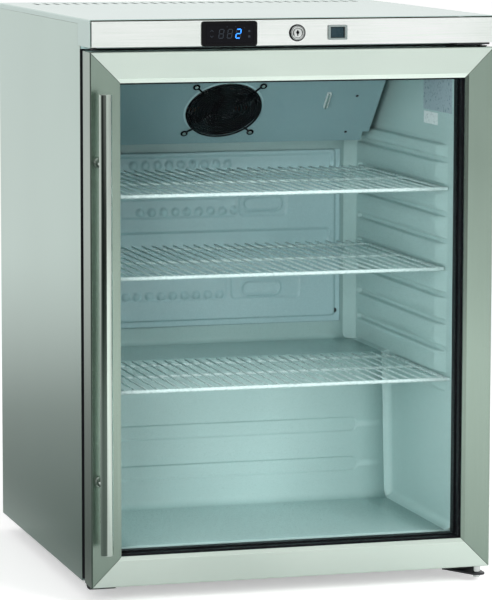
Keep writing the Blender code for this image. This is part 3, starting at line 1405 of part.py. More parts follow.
def air_duct_panel():
    """Moulded panel on the back wall with a raised field, air scoops and long slots."""
    flange_back = BACK_WALL - GAP
    flange_front = flange_back - DUCT_FLANGE
    face = flange_front - DUCT_PROUD
    low, high = BASE + DUCT_LOW, BASE + DUCT_HIGH
    middle = (low + high) / 2
    half_height = (high - low) / 2
    outline = rectangle(DUCT_HALF_WIDTH, half_height, DUCT_CORNER, (0, middle))
    panel = prism("air_duct_panel", outline, "Y", flange_front, flange_back, painted_cover())
    field = rectangle(DUCT_HALF_WIDTH - DUCT_BORDER, half_height - DUCT_BORDER, DUCT_CORNER, (0, middle))
    raised = prism("duct_field", field, "Y", face, flange_back - DUCT_FLANGE / 2)
    round_edges(raised, DUCT_PROUD / 2, 2, lambda a, b: max(a.y, b.y) < face + GAP)
    weld(panel, raised)
    scoops = []
    for share in SCOOP_ROW_SHARES:
        level = low + share * (high - low)
        for index in range(SCOOP_COUNT):
            left = SCOOP_X + index * SCOOP_PITCH
            far = (left + SCOOP_WIDTH, flange_back + OVERRUN, level + SCOOP_HEIGHT)
            scoops.append(((left, face - OVERRUN, level), far))
    slots = bmesh.new()
    for share in SCOOP_ROW_SHARES:
        centre = (LONG_SLOT_X + LONG_SLOT_LENGTH / 2, low + share * (high - low) + SCOOP_HEIGHT / 2)
        outline = rectangle(LONG_SLOT_LENGTH / 2, LONG_SLOT_HEIGHT / 2, LONG_SLOT_HEIGHT / 2 - GAP, centre)
        add_prism(slots, outline, "Y", face - OVERRUN, face + DUCT_PROUD)
    cut(panel, boxes("air_scoops", scoops), finish("long_slots", slots, None))
    return panel


# Shelves

def wire_shelf(name, groove, setback, depth):
    """Coated wire shelf: a thick front bar, cross rods in the grooves and thin wires welded on top."""
    half = RUNNER_HALF + GROOVE_DEPTH - SHELF_END_GAP
    floor = groove_low(groove) + GAP
    front = FACE + setback
    back = front + depth
    builder = bmesh.new()
    rods = [(front + FRONT_BAR / 2, FRONT_BAR), ((front + back) / 2, CROSS_ROD)]
    rods.append((back - REAR_ROD_INSET, CROSS_ROD))
    for y, size in rods:
        sides = 8 if size > CROSS_ROD else 6
        section = circle(size / 2 / math.cos(math.pi / sides), sides, math.pi / sides + math.pi / 2)
        add_prism(builder, [(y + a, floor + size / 2 + b) for a, b in section], "X", -half, half)
    shelf = finish(name, builder, coated_wire())
    low = floor + CROSS_ROD - WELD_DEPTH
    start = -(WIRE_COUNT - 1) * WIRE_PITCH / 2
    wires = []
    for index in range(WIRE_COUNT):
        x = start + index * WIRE_PITCH
        wires.append(((x - WIRE / 2, front + FRONT_BAR / 2, low), (x + WIRE / 2, back, low + WIRE)))
    sides = []
    for side in (-1, 1):
        near, far = sorted((side * (half - CROSS_ROD), side * half))
        sides.append(((near, front + FRONT_BAR / 2, floor), (far, back - REAR_ROD_INSET, floor + CROSS_ROD)))
    weld(shelf, boxes(name + "_wires", wires), boxes(name + "_sides", sides))
    return shelf


def shelves():
    """The three shelves, top first, the lowest one short enough to end at the hump."""
    top, middle, low = SHELF_GROOVES
    wire_shelf("shelf_top", top, TOP_SHELF_SETBACK, SHELF_DEPTH)
    wire_shelf("shelf_middle", middle, MIDDLE_SHELF_SETBACK, SHELF_DEPTH)
    wire_shelf("shelf_bottom", low, LOW_SHELF_SETBACK, LOW_SHELF_DEPTH)


# Machine compartment

def compressor():
    """Welded compressor can on a plate with four rubber mounts."""
    y = BAY_Y
    plate_low = PAN_TOP + GAP + MOUNT_HEIGHT
    low = plate_low + MOUNT_PLATE / 2
    high = low + COMPRESSOR_HEIGHT
    r = COMPRESSOR_RADIUS
    seam = low + COMPRESSOR_HEIGHT * CAN_SEAM_SHARE
    curve = r * CAN_ROUND_SHARE
    lip = r + MOUNT_PLATE
    profile = [(r * CAN_FOOT_SHARE, low), (r, low + curve), (r, seam), (lip, seam),
               (lip, seam + MOUNT_PLATE), (r, seam + MOUNT_PLATE), (r * CAN_SHOULDER_SHARE, high - curve),
               (r * CAN_CROWN_SHARE, high - r * CAN_CROWN_DROP_SHARE), (curve, high)]
    can = turned("compressor", profile, upright(COMPRESSOR_X, y, 0), compressor_paint())
    pad = MOUNT_RADIUS
    plate = rectangle(MOUNT_SPREAD_X + pad, MOUNT_SPREAD_Y + pad, pad, (COMPRESSOR_X, y))
    mounts = bmesh.new()
    for a in (-1, 1):
        for b in (-1, 1):
            place = upright(COMPRESSOR_X + a * MOUNT_SPREAD_X, y + b * MOUNT_SPREAD_Y, PAN_TOP + GAP)
            add_turned(mounts, [(pad, 0), (pad, MOUNT_HEIGHT + MOUNT_PLATE / 2)], place, 12)
    weld(can, prism("mount_plate", plate, "Z", plate_low, plate_low + MOUNT_PLATE),
         finish("rubber_mounts", mounts, None))
    return can


def relay_box():
    """Starter cover clipped on the side of the compressor."""
    y = BAY_Y
    right = COMPRESSOR_X - COMPRESSOR_RADIUS * math.cos(math.pi / ROUND_STEPS)
    low = PAN_TOP + 2 * GAP + MOUNT_HEIGHT + MOUNT_PLATE + COMPRESSOR_RADIUS / 4
    box_low = (right - RELAY_WIDTH, y - RELAY_DEPTH / 2, low)
    box_high = (right + RELAY_WIDTH / 4, y + RELAY_DEPTH / 2, low + RELAY_HEIGHT)
    relay = boxes("relay_box", [(box_low, box_high)], black_plastic())
    clear = COMPRESSOR_RADIUS + MOUNT_PLATE + GAP
    tool = turned("relay_seat", [(clear, low - OVERRUN), (clear, low + RELAY_HEIGHT + OVERRUN)],
                  upright(COMPRESSOR_X, y, 0), steps=2 * ROUND_STEPS)
    cut(relay, tool)
    return relay


def evaporation_pan():
    """Tray on top of the compressor in which the defrost water dries off."""
    y = BAY_Y
    low = PAN_TOP + GAP + MOUNT_HEIGHT + MOUNT_PLATE / 2 + COMPRESSOR_HEIGHT + GAP
    t = TRAY_SHEET
    outline = rectangle(PAN_HALF_LENGTH, PAN_HALF_WIDTH, DUCT_CORNER, (COMPRESSOR_X, y))
    inside = rectangle(PAN_HALF_LENGTH - t, PAN_HALF_WIDTH - t, DUCT_CORNER - t, (COMPRESSOR_X, y))
    pan = prism("evaporation_pan", outline, "Z", low, low + PAN_DEPTH, black_plastic())
    cut(pan, prism("pan_inside", inside, "Z", low + t, low + PAN_DEPTH + OVERRUN))
    return pan


def condenser_plane():
    """Distance back of the condenser's tube."""
    return REAR_PANEL_BACK + CONDENSER_STANDOFF


def condenser_level(run):
    """Height of one run of the condenser tube."""
    return BASE + CONDENSER_LOW + run * CONDENSER_PITCH


def condenser():
    """Wire-on-tube condenser: one folded tube, upright wires and four stand-offs."""
    y, half = condenser_plane(), CONDENSER_HALF_WIDTH
    points, radii = [], []
    bend = CONDENSER_PITCH / 2
    for run in range(CONDENSER_RUNS):
        z = condenser_level(run)
        ends = (-1, 1) if run % 2 else (1, -1)
        first = run == 0
        last = run == CONDENSER_RUNS - 1
        points.append((ends[0] * (half + (0 if first else bend)), y, z))
        points.append((ends[1] * (half + (0 if last else bend)), y, z))
        radii += [0 if first else bend * BEND_SHARE, 0 if last else bend * BEND_SHARE]
    coil = tube("condenser", rounded_path(points, radii, BEND_STEPS), CONDENSER_TUBE, 6, black_wire())
    low, high = condenser_level(0) - bend / 2, condenser_level(CONDENSER_RUNS - 1) + bend / 2
    pitch = 2 * half / CONDENSER_WIRES
    wires, feet = [], []
    for index in range(CONDENSER_WIRES):
        x = -half + pitch * (index + 0.5)
        reach = CONDENSER_WIRE / 2
        near = y + CONDENSER_TUBE - reach
        wires.append(((x - reach, near, low), (x + reach, near + CONDENSER_WIRE, high)))
    for run in (1, CONDENSER_RUNS - 2):
        for side in (-1, 1):
            x, z = side * (half - pitch / 8), condenser_level(run)
            w = STANDOFF_WIDTH / 2
            feet.append(((x - w, REAR_PANEL_BACK + GAP, z - w / 2), (x + w, y, z + w / 2)))
    weld(coil, boxes("condenser_wires", wires), boxes("condenser_standoffs", feet))
    return coil


def discharge_pipe():
    """Hot gas pipe from the compressor up to the condenser's lowest run."""
    y = BAY_Y
    stub_x = COMPRESSOR_X + COMPRESSOR_RADIUS + GAP
    level = PAN_TOP + MOUNT_HEIGHT + COMPRESSOR_HEIGHT / 3
    end_x = CONDENSER_HALF_WIDTH + GAP
    out = end_x + CONDENSER_PITCH / 2
    points = [(stub_x, y, level), (out, y, level), (out, condenser_plane(), level + COMPRESSOR_HEIGHT),
              (out, condenser_plane(), condenser_level(0)), (end_x, condenser_plane(), condenser_level(0))]
    bend = PIPE_RADIUS * 4
    path = rounded_path(points, [0, bend, bend, bend, 0], BEND_STEPS)
    return tube("discharge_pipe", path, PIPE_RADIUS, 8, copper())


def filter_drier():
    """Copper drier standing on the outlet end of the condenser."""
    last = CONDENSER_RUNS - 1
    side = 1 if last % 2 else -1
    r, tip = DRIER_RADIUS, CONDENSER_TUBE
    neck = DRIER_LENGTH / 6
    profile = [(tip, 0), (r, neck), (r, DRIER_LENGTH - neck), (tip, DRIER_LENGTH)]
    turn = Matrix.Rotation(side * math.pi / 2, 4, "Y")
    frame = upright(side * (CONDENSER_HALF_WIDTH + GAP), condenser_plane(), condenser_level(last)) @ turn
    return frame, profile


def gland_frame():
    """Frame on the inside of the base pan's rear lip, its Z pointing backwards."""
    return inward(GLAND_X, PAN_BACK - PAN_SHEET, BASE + PAN_SHEET / 2 + PAN_LIP / 2)


def cable_gland():
    """Plastic bush in the rear lip where the supply cord enters."""
    half, seat = GLAND_LENGTH / 2, PAN_SHEET + GAP
    profile = [(GLAND_BORE, -half), (GLAND_RADIUS, -half), (GLAND_RADIUS, seat), (GLAND_FLANGE, seat),
               (GLAND_FLANGE * GLAND_TAPER_SHARE, half), (GLAND_BORE, half)]
    return turned("cable_gland", profile, gland_frame(), black_plastic(), SMALL_STEPS, closed=True)


def levelling_foot(name, x, y):
    """Adjustable foot: a round pad, a stem and a spanner collar; its origin is on its thread axis."""
    r, stem, collar = FOOT_RADIUS, FOOT_STEM, FOOT_COLLAR
    top = FOOT_HEIGHT - GAP
    profile = [(r - FOOT_PAD / 4, 0), (r, FOOT_PAD / 4), (r, FOOT_PAD * FOOT_RIM_SHARE), (stem, FOOT_PAD),
               (stem, top - FOOT_COLLAR_HEIGHT), (collar, top - FOOT_COLLAR_HEIGHT), (collar, top)]
    foot = turned(name, profile, Matrix(), black_plastic(), SMALL_STEPS)
    foot.location = (x, y, 0)
    return foot


def feet():
    """Four levelling feet."""
    x = HALF - FOOT_INSET
    front, rear = FACE + FOOT_FRONT, REAR - FOOT_REAR
    places = (("foot_front_left", -x, front), ("foot_front_right", x, front),
              ("foot_rear_left", -x, rear), ("foot_rear_right", x, rear))
    return [levelling_foot(*place) for place in places]


def cabinet():
    """Everything that stays with the cabinet."""
    side_panel("side_panel_left", -1)
    side_panel("side_panel_right", 1)
    foam_body()
    inner_liner()
    rear_panel()
    base_pan()
    top_cover()
    control_fascia()
    controller()
    display_lens()
    lock_housing()
    lock_plug()
    lock_cam()
    switch_bezel()
    switch_rocker()
    buffer_pad()
    upper_bracket()
    lower_bracket()
    upper_pin()
    lower_pin()
    evaporator_cover()
    fan_frame()
    fan_rotor()
    fan_guard()
    evaporator_coil()
    drip_tray()
    probe_clip()
    lamp_housing()
    air_duct_panel()
    compressor()
    relay_box()
    evaporation_pan()
    condenser()
    discharge_pipe()
    frame, profile = filter_drier()
    turned("filter_drier", profile, frame, copper(), steps=12)
    cable_gland()


for leftover in list(bpy.data.objects):
    bpy.data.objects.remove(leftover, do_unlink=True)

cabinet()
door()
shelves()
feet()
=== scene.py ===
# %% [markdown]
# # A glass door refrigerator, dressed over its CAD frame
# The frame holds every solid piece at its true size. This lesson gives the pieces their looks: pressed
# plastic with soft grooves, round wires, brushed steel, clear glass. Shapes are worked out with numpy in
# millimetres, in the frame's own place, so nothing has to be moved afterwards.

# %% Load the frame
import json

import bpy
import numpy as np
from mathutils import Matrix, Vector

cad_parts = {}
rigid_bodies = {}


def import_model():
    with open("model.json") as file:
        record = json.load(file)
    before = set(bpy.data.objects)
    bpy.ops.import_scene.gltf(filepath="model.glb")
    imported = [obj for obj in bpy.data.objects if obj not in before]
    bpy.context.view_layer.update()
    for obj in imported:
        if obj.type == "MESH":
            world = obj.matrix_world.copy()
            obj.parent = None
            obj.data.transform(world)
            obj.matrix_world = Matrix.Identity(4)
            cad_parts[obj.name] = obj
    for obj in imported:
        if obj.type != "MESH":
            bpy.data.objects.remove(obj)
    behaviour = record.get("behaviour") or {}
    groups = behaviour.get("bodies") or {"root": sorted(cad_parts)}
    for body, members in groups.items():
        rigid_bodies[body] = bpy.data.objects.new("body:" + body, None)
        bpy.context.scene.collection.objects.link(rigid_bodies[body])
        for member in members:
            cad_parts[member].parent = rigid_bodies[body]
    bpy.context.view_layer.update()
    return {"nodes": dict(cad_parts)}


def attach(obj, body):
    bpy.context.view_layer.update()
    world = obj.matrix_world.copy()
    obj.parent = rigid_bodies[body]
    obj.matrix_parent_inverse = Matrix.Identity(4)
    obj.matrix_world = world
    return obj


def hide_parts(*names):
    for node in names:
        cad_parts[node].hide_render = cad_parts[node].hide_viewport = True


for leftover in list(bpy.data.objects):
    bpy.data.objects.remove(leftover, do_unlink=True)
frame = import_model()
MM = 0.001

# %% [markdown]
# Colours are written as they look on a screen (sRGB hex). Cycles calculates with light, so one function turns
# them into linear values. One function adds a shader node with its settings and links, and another works
# down a table of ramps and sums, which is easier to read than a long list of nodes.

# %% Colour and node helpers
def linear(shade):
    """sRGB to linear: parts up to 0.04045 are divided by 12.92, the rest are ((c + 0.055) / 1.055) ** 2.4."""
    parts = np.array([int(shade[i:i + 2], 16) for i in (1, 3, 5)]) / 255
    light = np.where(parts <= 0.04045, parts / 12.92, ((parts + 0.055) / 1.055) ** 2.4)
    return (*light.tolist(), 1.0)


WHITE, BLACK = linear("#FFFFFF"), linear("#000000")


def feed(tree, node, inputs):
    """Gives each named input its value, or a link from a socket or from a node's first output in use."""
    for key, value in inputs.items():
        if isinstance(value, bpy.types.Node):
            value = next(output for output in value.outputs if output.enabled)
        if isinstance(value, bpy.types.NodeSocket):
            tree.links.new(value, node.inputs[key])
        else:
            node.inputs[key].default_value = value


def add(tree, kind, inputs=None, **settings):
    """Adds a node, sets its settings and feeds its inputs."""
    node = tree.nodes.new("ShaderNode" + kind)
    for key, value in settings.items():
        setattr(node, key, value)
    feed(tree, node, inputs or {})
    return node


def worked_out(tree, values, steps):
    """Adds a table's steps to the values by name. LINEAR and SMOOTHSTEP rows are ramps: a source, the range it
    has, and the range it gets if that isn't 0 to 1. Other rows are sums: an operation and its two terms."""
    for name, kind, source, *rest in steps:
        if kind in ("LINEAR", "SMOOTHSTEP"):
            ends = dict(zip(("From Min", "From Max", "To Min", "To Max"), rest))
            values[name] = add(tree, "MapRange", {"Value": values[source], **ends}, interpolation_type=kind)
        else:
            values[name] = add(tree, "Math", {0: values[source], 1: values.get(rest[0], rest[0])}, operation=kind)
    return values


def started(name, inputs):
    """A new material with its tree and its shader, whose plain values are set on its own sockets."""
    material = bpy.data.materials.new(name)
    material.use_nodes = True
    tree = material.node_tree
    shader = tree.nodes["Principled BSDF"]
    feed(tree, shader, inputs)
    return material, tree, shader


CLOUD = 160.0


def grained(name, pale, dark, grain, rough, bump=0.0, inputs=None, detail=3.0):
    """A material from two noises on Object coordinates: a fine one whose size is grain, in millimetres along
    X, Y and Z, drives colour, roughness and a height of bump millimetres; a broad one, CLOUD mm, clouds it."""
    material, tree, shader = started(name, inputs or {})
    place = add(tree, "TexCoord").outputs["Object"]
    sized = add(tree, "Mapping", {"Vector": place, "Scale": [1 / (MM * size) for size in grain]})
    fine = add(tree, "TexNoise", {"Vector": sized, "Scale": 1.0, "Detail": detail})
    broad = add(tree, "TexNoise", {"Vector": place, "Scale": 1 / (MM * CLOUD), "Detail": 1.0})
    share = worked_out(tree, {"fine": fine, "broad": broad}, (
        ("both", "ADD", "fine", "broad"),
        ("mixed", "LINEAR", "both", 0.7, 1.3),
        ("gloss", "LINEAR", "fine", 0.3, 0.7, *rough)))
    tint = add(tree, "Mix", {0: share["mixed"], 6: linear(dark), 7: linear(pale)}, data_type="RGBA")
    feed(tree, shader, {"Base Color": tint, "Roughness": share["gloss"]})
    if bump:
        relief = add(tree, "Bump", {"Height": fine, "Distance": bump * MM, "Strength": 1.0})
        feed(tree, shader, {"Normal": relief})
    return material


# %% [markdown]
# ## Light and camera
# The photograph is a studio shot on white. A bright, even sky stands in for the soft boxes. The floor is white
# to the camera and through glass, and keeps the shadow; polished steel sees a card and a shade on it. The
# camera was fitted to the door's corners.

# %% Camera
FOCAL_PIXELS, PHOTO_PIXELS, SENSOR = 3441, 600, 36
CAMERA_SPOT, TURNED_RIGHT, TILTED_DOWN, ROLLED = (-1.419, -4.935, 1.050), 16.12, 7.28, 0.0017


def camera():
    """A long lens 5 m away, turned right of +Y and tilted down, in degrees."""
    data = bpy.data.cameras.new("photo_camera")
    data.lens = FOCAL_PIXELS * SENSOR / PHOTO_PIXELS
    data.clip_end = 200
    view = bpy.data.objects.new("photo_camera", data)
    turn = Matrix.Rotation(np.radians(-TURNED_RIGHT), 4, "Z") @ Matrix.Rotation(np.radians(90 - TILTED_DOWN), 4, "X")
    view.matrix_world = Matrix.Translation(CAMERA_SPOT) @ turn @ Matrix.Rotation(ROLLED, 4, "Z")
    bpy.context.scene.collection.objects.link(view)
    bpy.context.scene.camera = view
    return data.lens


print("lens", round(camera(), 1))


# %% Sky
SKY_LOW, SKY_HIGH, BOARD, FLOOR_GLOW = 1.0, 0.60, 0.30, 0.40


def sky():
    """World light by direction: pale in front and on the right, white behind. A dark board hangs on the left,
    from the camera's side to well behind the object: it draws the dark edge on bright round metal. The
    camera itself sees plain white."""
    world = bpy.data.worlds.new("studio")
    bpy.context.scene.world = world
    world.use_nodes = True
    tree = world.node_tree
    x, y, z = add(tree, "SeparateXYZ", {0: add(tree, "TexCoord").outputs["Generated"]}).outputs
    share = worked_out(tree, {"x": x, "y": y, "z": z}, (
        ("rise", "SMOOTHSTEP", "z", 0.12, 0.65, SKY_LOW, SKY_HIGH),
        ("back", "LINEAR", "y", -0.2, 0.4, 0.0, 0.40),
        ("edge", "ADD", "x", "back"),
        ("left", "SMOOTHSTEP", "edge", -0.24, -0.04, BOARD, 1.0),
        ("over", "LINEAR", "z", 0.45, 0.70),
        ("board", "MAXIMUM", "left", "over"),
        ("depth", "LINEAR", "y", -0.3, 0.3, 1.0, 1.1),
        ("open", "MULTIPLY", "rise", "board"),
        ("light", "MULTIPLY", "open", "depth")))
    seen = add(tree, "Mix", {0: add(tree, "LightPath").outputs["Is Camera Ray"], 2: share["light"], 3: 1.0})
    feed(tree, tree.nodes["Background"], {"Strength": seen, "Color": WHITE})


def soft_box(name, spot, aim, size, power):
    """A square area light turned towards a point. The steel doesn't mirror it."""
    data = bpy.data.lights.new(name, "AREA")
    data.size, data.energy = size, power
    lamp = bpy.data.objects.new(name, data)
    lamp.visible_glossy = False
    way = Vector(aim) - Vector(spot)
    lamp.matrix_world = Matrix.Translation(spot) @ way.to_track_quat("-Z", "Y").to_matrix().to_4x4()
    bpy.context.scene.collection.objects.link(lamp)


def floor(half=60.0):
    """A wide white floor that keeps the shadow. Only the steel sees three more things on it: a grey card left
    of the object, darker in front out to 3 m, which gives the side panel its dark foot and the bar its dark
    half; a softer shade close in front of the door, which tones down the bottom rail; and a far glow."""
    mesh = bpy.data.meshes.new("studio_floor")
    mesh.from_pydata([(-half, -half, 0), (half, -half, 0), (half, half, 0), (-half, half, 0)], [], [(0, 1, 2, 3)])
    ground = bpy.data.objects.new("studio_floor", mesh)
    bpy.context.scene.collection.objects.link(ground)
    material, tree, shader = started("white_studio_floor", {"Roughness": 0.9, "Specular IOR Level": 0.0,
                                                            "Emission Color": WHITE})
    spot = add(tree, "TexCoord").outputs["Object"]
    x, y = add(tree, "SeparateXYZ", {0: spot}).outputs[:2]
    ray = add(tree, "LightPath").outputs
    share = {"x": x, "y": y, "reach": add(tree, "VectorMath", {0: spot}, operation="LENGTH"),
             "camera": ray["Is Camera Ray"], "steel": ray["Is Glossy Ray"], "glass": ray["Is Transmission Ray"]}
    worked_out(tree, share, (
        ("beside", "LINEAR", "x", -0.28, -0.42),
        ("behind", "SMOOTHSTEP", "y", 3.1, -0.5),
        ("card", "MULTIPLY", "beside", "behind"),
        ("carded", "MULTIPLY", "card", "steel"),
        ("ahead", "LINEAR", "y", 0.2, -0.5),
        ("away", "LINEAR", "reach", 2.0, 3.4, 0.4),
        ("deeper", "MULTIPLY", "ahead", "away"),
        ("near", "LINEAR", "y", -2.6, -0.4, 0.0, 0.3),
        ("fewer", "LINEAR", "x", 0.0, 0.4, 0.8, 0.0),
        ("close", "MULTIPLY", "near", "fewer"),
        ("shaded", "MULTIPLY", "close", "steel"),
        ("through", "MAXIMUM", "camera", "glass"),
        ("seen", "MAXIMUM", "through", "steel"),
        ("rear", "LINEAR", "y", 1.5, 4.0),
        ("front", "LINEAR", "y", -4.5, -10.0, 0.0, 0.6),
        ("far", "MAXIMUM", "rear", "front"),
        ("mirrored", "MULTIPLY", "far", "steel"),
        ("bright", "MAXIMUM", "through", "mirrored"),
        ("glow", "MULTIPLY", "bright", FLOOR_GLOW)))
    tint = linear("#D8D8D8")
    grey = add(tree, "Mix", {0: share["deeper"], 6: linear("#808985"), 7: linear("#1C201E")}, data_type="RGBA")
    for part, colour in (("seen", WHITE), ("shaded", BLACK), ("carded", grey)):
        tint = add(tree, "Mix", {0: share[part], 6: tint, 7: colour}, data_type="RGBA")
    feed(tree, shader, {"Base Color": tint, "Emission Strength": share["glow"]})
    mesh.materials.append(material)


bpy.context.scene.view_settings.view_transform = "Standard"
sky()
floor()
soft_box("key_box", (1.7, -3.7, 2.6), (0.0, 0, 0.40), 1.5, 90)
soft_box("fill_box", (-2.1, -3.5, 0.8), (0.1, 0, 0.55), 1.6, 115)
print("white floor and soft sky set")

# %% [markdown]
# ## Tools for shapes
# Every new piece is a grid of points: rows run along it, columns run round it. The tools below make such
# grids from an outline, a turned profile or a wire's path, skin them with faces, and put them in one object.

# %% Grid tools
def unit(ways):
    """Each vector divided by its own length."""
    return ways / np.maximum(np.linalg.norm(ways, axis=-1, keepdims=True), 1e-12)


def soften(points, radii, steps=6, closed=True):
    """Corners turned to arcs: an arc leaves its sides radius / tan(half the corner's angle) from the corner. One
    more point on each side, up to 0.4 radius further out, keeps the flat face beside the arc evenly shaded."""
    p = np.asarray(points, float)
    r = np.array(np.broadcast_to(np.asarray(radii, float), len(p)))[:, None]
    if not closed:
        r[[0, -1]] = 0
    before, after = np.roll(p, 1, 0) - p, np.roll(p, -1, 0) - p
    a, b = unit(before), unit(after)
    half = np.maximum(np.arccos(np.clip((a * b).sum(-1, keepdims=True), -1, 1)) / 2, 0.01)
    centre = p + unit(a + b) * r / np.sin(half)
    leave = r / np.tan(half)
    start, end = p + a * leave - centre, p + b * leave - centre
    spare = [np.linalg.norm(way, axis=1, keepdims=True) - leave - np.roll(leave, shift, 0)
             for way, shift in ((before, 1), (after, -1))]
    first = centre + start + a * np.clip(0.3 * spare[0], 0, 0.4 * r)
    last = centre + end + b * np.clip(0.3 * spare[1], 0, 0.4 * r)
    turn = np.maximum(np.pi - 2 * half, 1e-6)[:, None]
    t = np.linspace(0, 1, steps + 1)[None, :, None]
    arc = (np.sin((1 - t) * turn) * start[:, None] + np.sin(t * turn) * end[:, None]) / np.sin(turn)
    path = np.concatenate([first[:, None], centre[:, None] + arc, last[:, None]], 1).reshape(-1, p.shape[1])
    step = np.linalg.norm(path - np.roll(path, 1, 0), axis=1)
    step[0] = step[0] if closed else 1
    return path[step > 1e-5]


def skin(grid, ring=False, around=True, flip=False):
    """Faces on points of (copies, rows, columns, 3): rows close into a ring, columns close around, flat ends
    get one face each. A closed skin whose summed signed volume is negative is turned to face outwards."""
    grid = np.asarray(grid, float)
    grid = grid[None] if grid.ndim == 3 else grid
    copies, rows, columns = grid.shape[:3]
    number = np.arange(copies * rows * columns).reshape(copies, rows, columns)
    near = number if ring else number[:, :-1]
    far = np.roll(number, -1, 1) if ring else number[:, 1:]
    faces = np.stack([near, np.roll(near, -1, 2), np.roll(far, -1, 2), far], -1)
    if not around:
        faces = faces[:, :, :-1]
    faces = faces.reshape(copies, -1, 4)
    points = grid.reshape(-1, 3)
    local = points[faces] - grid.reshape(copies, -1, 3).mean(1)[:, None, None]
    volume = sum((np.cross(local[..., k, :], local[..., k + 1, :]) * local[..., 0, :]).sum((1, 2)) for k in (1, 2))
    turned = (volume < 0) if around else np.full(copies, flip)
    faces[turned] = faces[turned][..., ::-1]
    sets = [faces.reshape(-1, 4)]
    if around and not ring:
        ends = np.stack([number[:, 0, ::-1], number[:, -1]], 1)
        ends[turned] = ends[turned][..., ::-1]
        sets.append(ends.reshape(-1, columns))
    return points, sets


def piece(name, body, finish, *shapes, ring=False, sharp=35, bevel=0.0, stands_for=None):
    """One object from several grids or skins, in metres at the origin, riding on a body. Its bevel is in
    millimetres, and it may stand for a CAD node."""
    skins = [shape if isinstance(shape, tuple) else skin(shape, ring) for shape in shapes]
    shift, sets = 0, []
    for points, faces in skins:
        sets += [numbers + shift for numbers in faces]
        shift += len(points)
    places = np.concatenate([points for points, faces in skins]) * MM
    loops = np.concatenate([numbers.ravel() for numbers in sets])
    sizes = np.concatenate([np.full(len(numbers), numbers.shape[1]) for numbers in sets])
    mesh = bpy.data.meshes.new(name)
    mesh.vertices.add(len(places))
    mesh.vertices.foreach_set("co", places.ravel())
    mesh.loops.add(len(loops))
    mesh.loops.foreach_set("vertex_index", loops)
    mesh.polygons.add(len(sizes))
    mesh.polygons.foreach_set("loop_start", np.concatenate([[0], np.cumsum(sizes)[:-1]]))
    mesh.update(calc_edges=True)
    mesh.validate()
    mesh.shade_smooth()
    mesh.set_sharp_from_angle(angle=np.radians(sharp))
    mesh.materials.append(materials[finish])
    thing = bpy.data.objects.new(name, mesh)
    bpy.context.scene.collection.objects.link(thing)
    if bevel:
        edge = thing.modifiers.new("eased_edges", "BEVEL")
        edge.width, edge.segments, edge.angle_limit = bevel * MM, 2, np.radians(40)
        edge.harden_normals = True
    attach(thing, body)
    if stands_for:
        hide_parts(stands_for)
    return thing


def sheet(thing, thickness):
    """Gives a single face its sheet's thickness, in millimetres, on its far side."""
    grown = thing.modifiers.new("sheet", "SOLIDIFY")
    grown.thickness, grown.offset = thickness * MM, -1


# %% Outline, lathe and wire grids
def slab(outline, axis, low, high):
    """An outline in two axes, in order, carried from low to high along the third."""
    return np.stack([np.insert(np.asarray(outline, float), "XYZ".index(axis), level, axis=1) for level in (low, high)])


def box_outline(low, high, radius, steps=5):
    """A rectangle between two corners with round corners."""
    return soften([(low[0], low[1]), (high[0], low[1]), (high[0], high[1]), (low[0], high[1])], radius, steps)


def circle(side, up, sides):
    """Unit circles in the plane of two directions: cos(turn) * side + sin(turn) * up."""
    turn = np.linspace(0, 2 * np.pi, sides, endpoint=False)[:, None]
    return np.cos(turn) * side + np.sin(turn) * up


def lathe(profile, centre, way=(0, 0, 1), sides=48):
    """A profile of (radius, height) turned about a direction: centre + radius * circle + height * way."""
    way = unit(np.asarray(way, float))
    side = unit(np.cross([0, 0, 1], way)) if abs(way[2]) < 0.9 else np.array([1.0, 0, 0])
    side = unit(side - way * (side @ way))
    r, h = np.asarray(profile, float).T[:, :, None, None]
    return np.asarray(centre, float) + r * circle(side, np.cross(way, side), sides) + h * way


def spun(corners, radii, steps, centre, way=(0, 0, 1), sides=48):
    """A lathe grid from an open profile whose corners are softened first."""
    return lathe(soften(corners, radii, steps, closed=False), centre, way, sides)


def wire(paths, radius, flat, sides, closed=False):
    """Round wires: across each path point lies a circle spanned by the path's side and the flat direction."""
    paths = np.asarray(paths, float)
    paths = paths[None] if paths.ndim == 2 else paths
    ahead = np.roll(paths, -1, 1) - np.roll(paths, 1, 1) if closed else np.gradient(paths, axis=1)
    ahead = unit(ahead)[:, :, None]
    side = unit(np.cross(ahead, np.asarray(flat, float)))
    return paths[:, :, None] + radius * circle(side, np.cross(side, ahead), sides)


def steep(value, width):
    """Smooth step: 0 below minus width / 2, 1 above plus width / 2, 3t² - 2t³ between."""
    t = np.clip(value / width + 0.5, 0, 1)
    return t * t * (3 - 2 * t)


print("tools ready")

# %% [markdown]
# ## Finishes
# Brushed stainless sheet shows fine lines along its length, so its noise is stretched along them. Vacuum
# formed plastic is satin with a soft orange peel. Dip coated wire is glossy white. Each finish below is one
# material, named for what it is: a pale and a dark shade, the size of its grain in millimetres, its range of
# roughness and its bump in millimetres. The one stainless steel comes in five base tones, which are painted
# light and shade.

# %% Metals
def metal(*look, **more):
    """A grained finish that is all metal."""
    return grained(*look, inputs={"Metallic": 1.0}, **more)
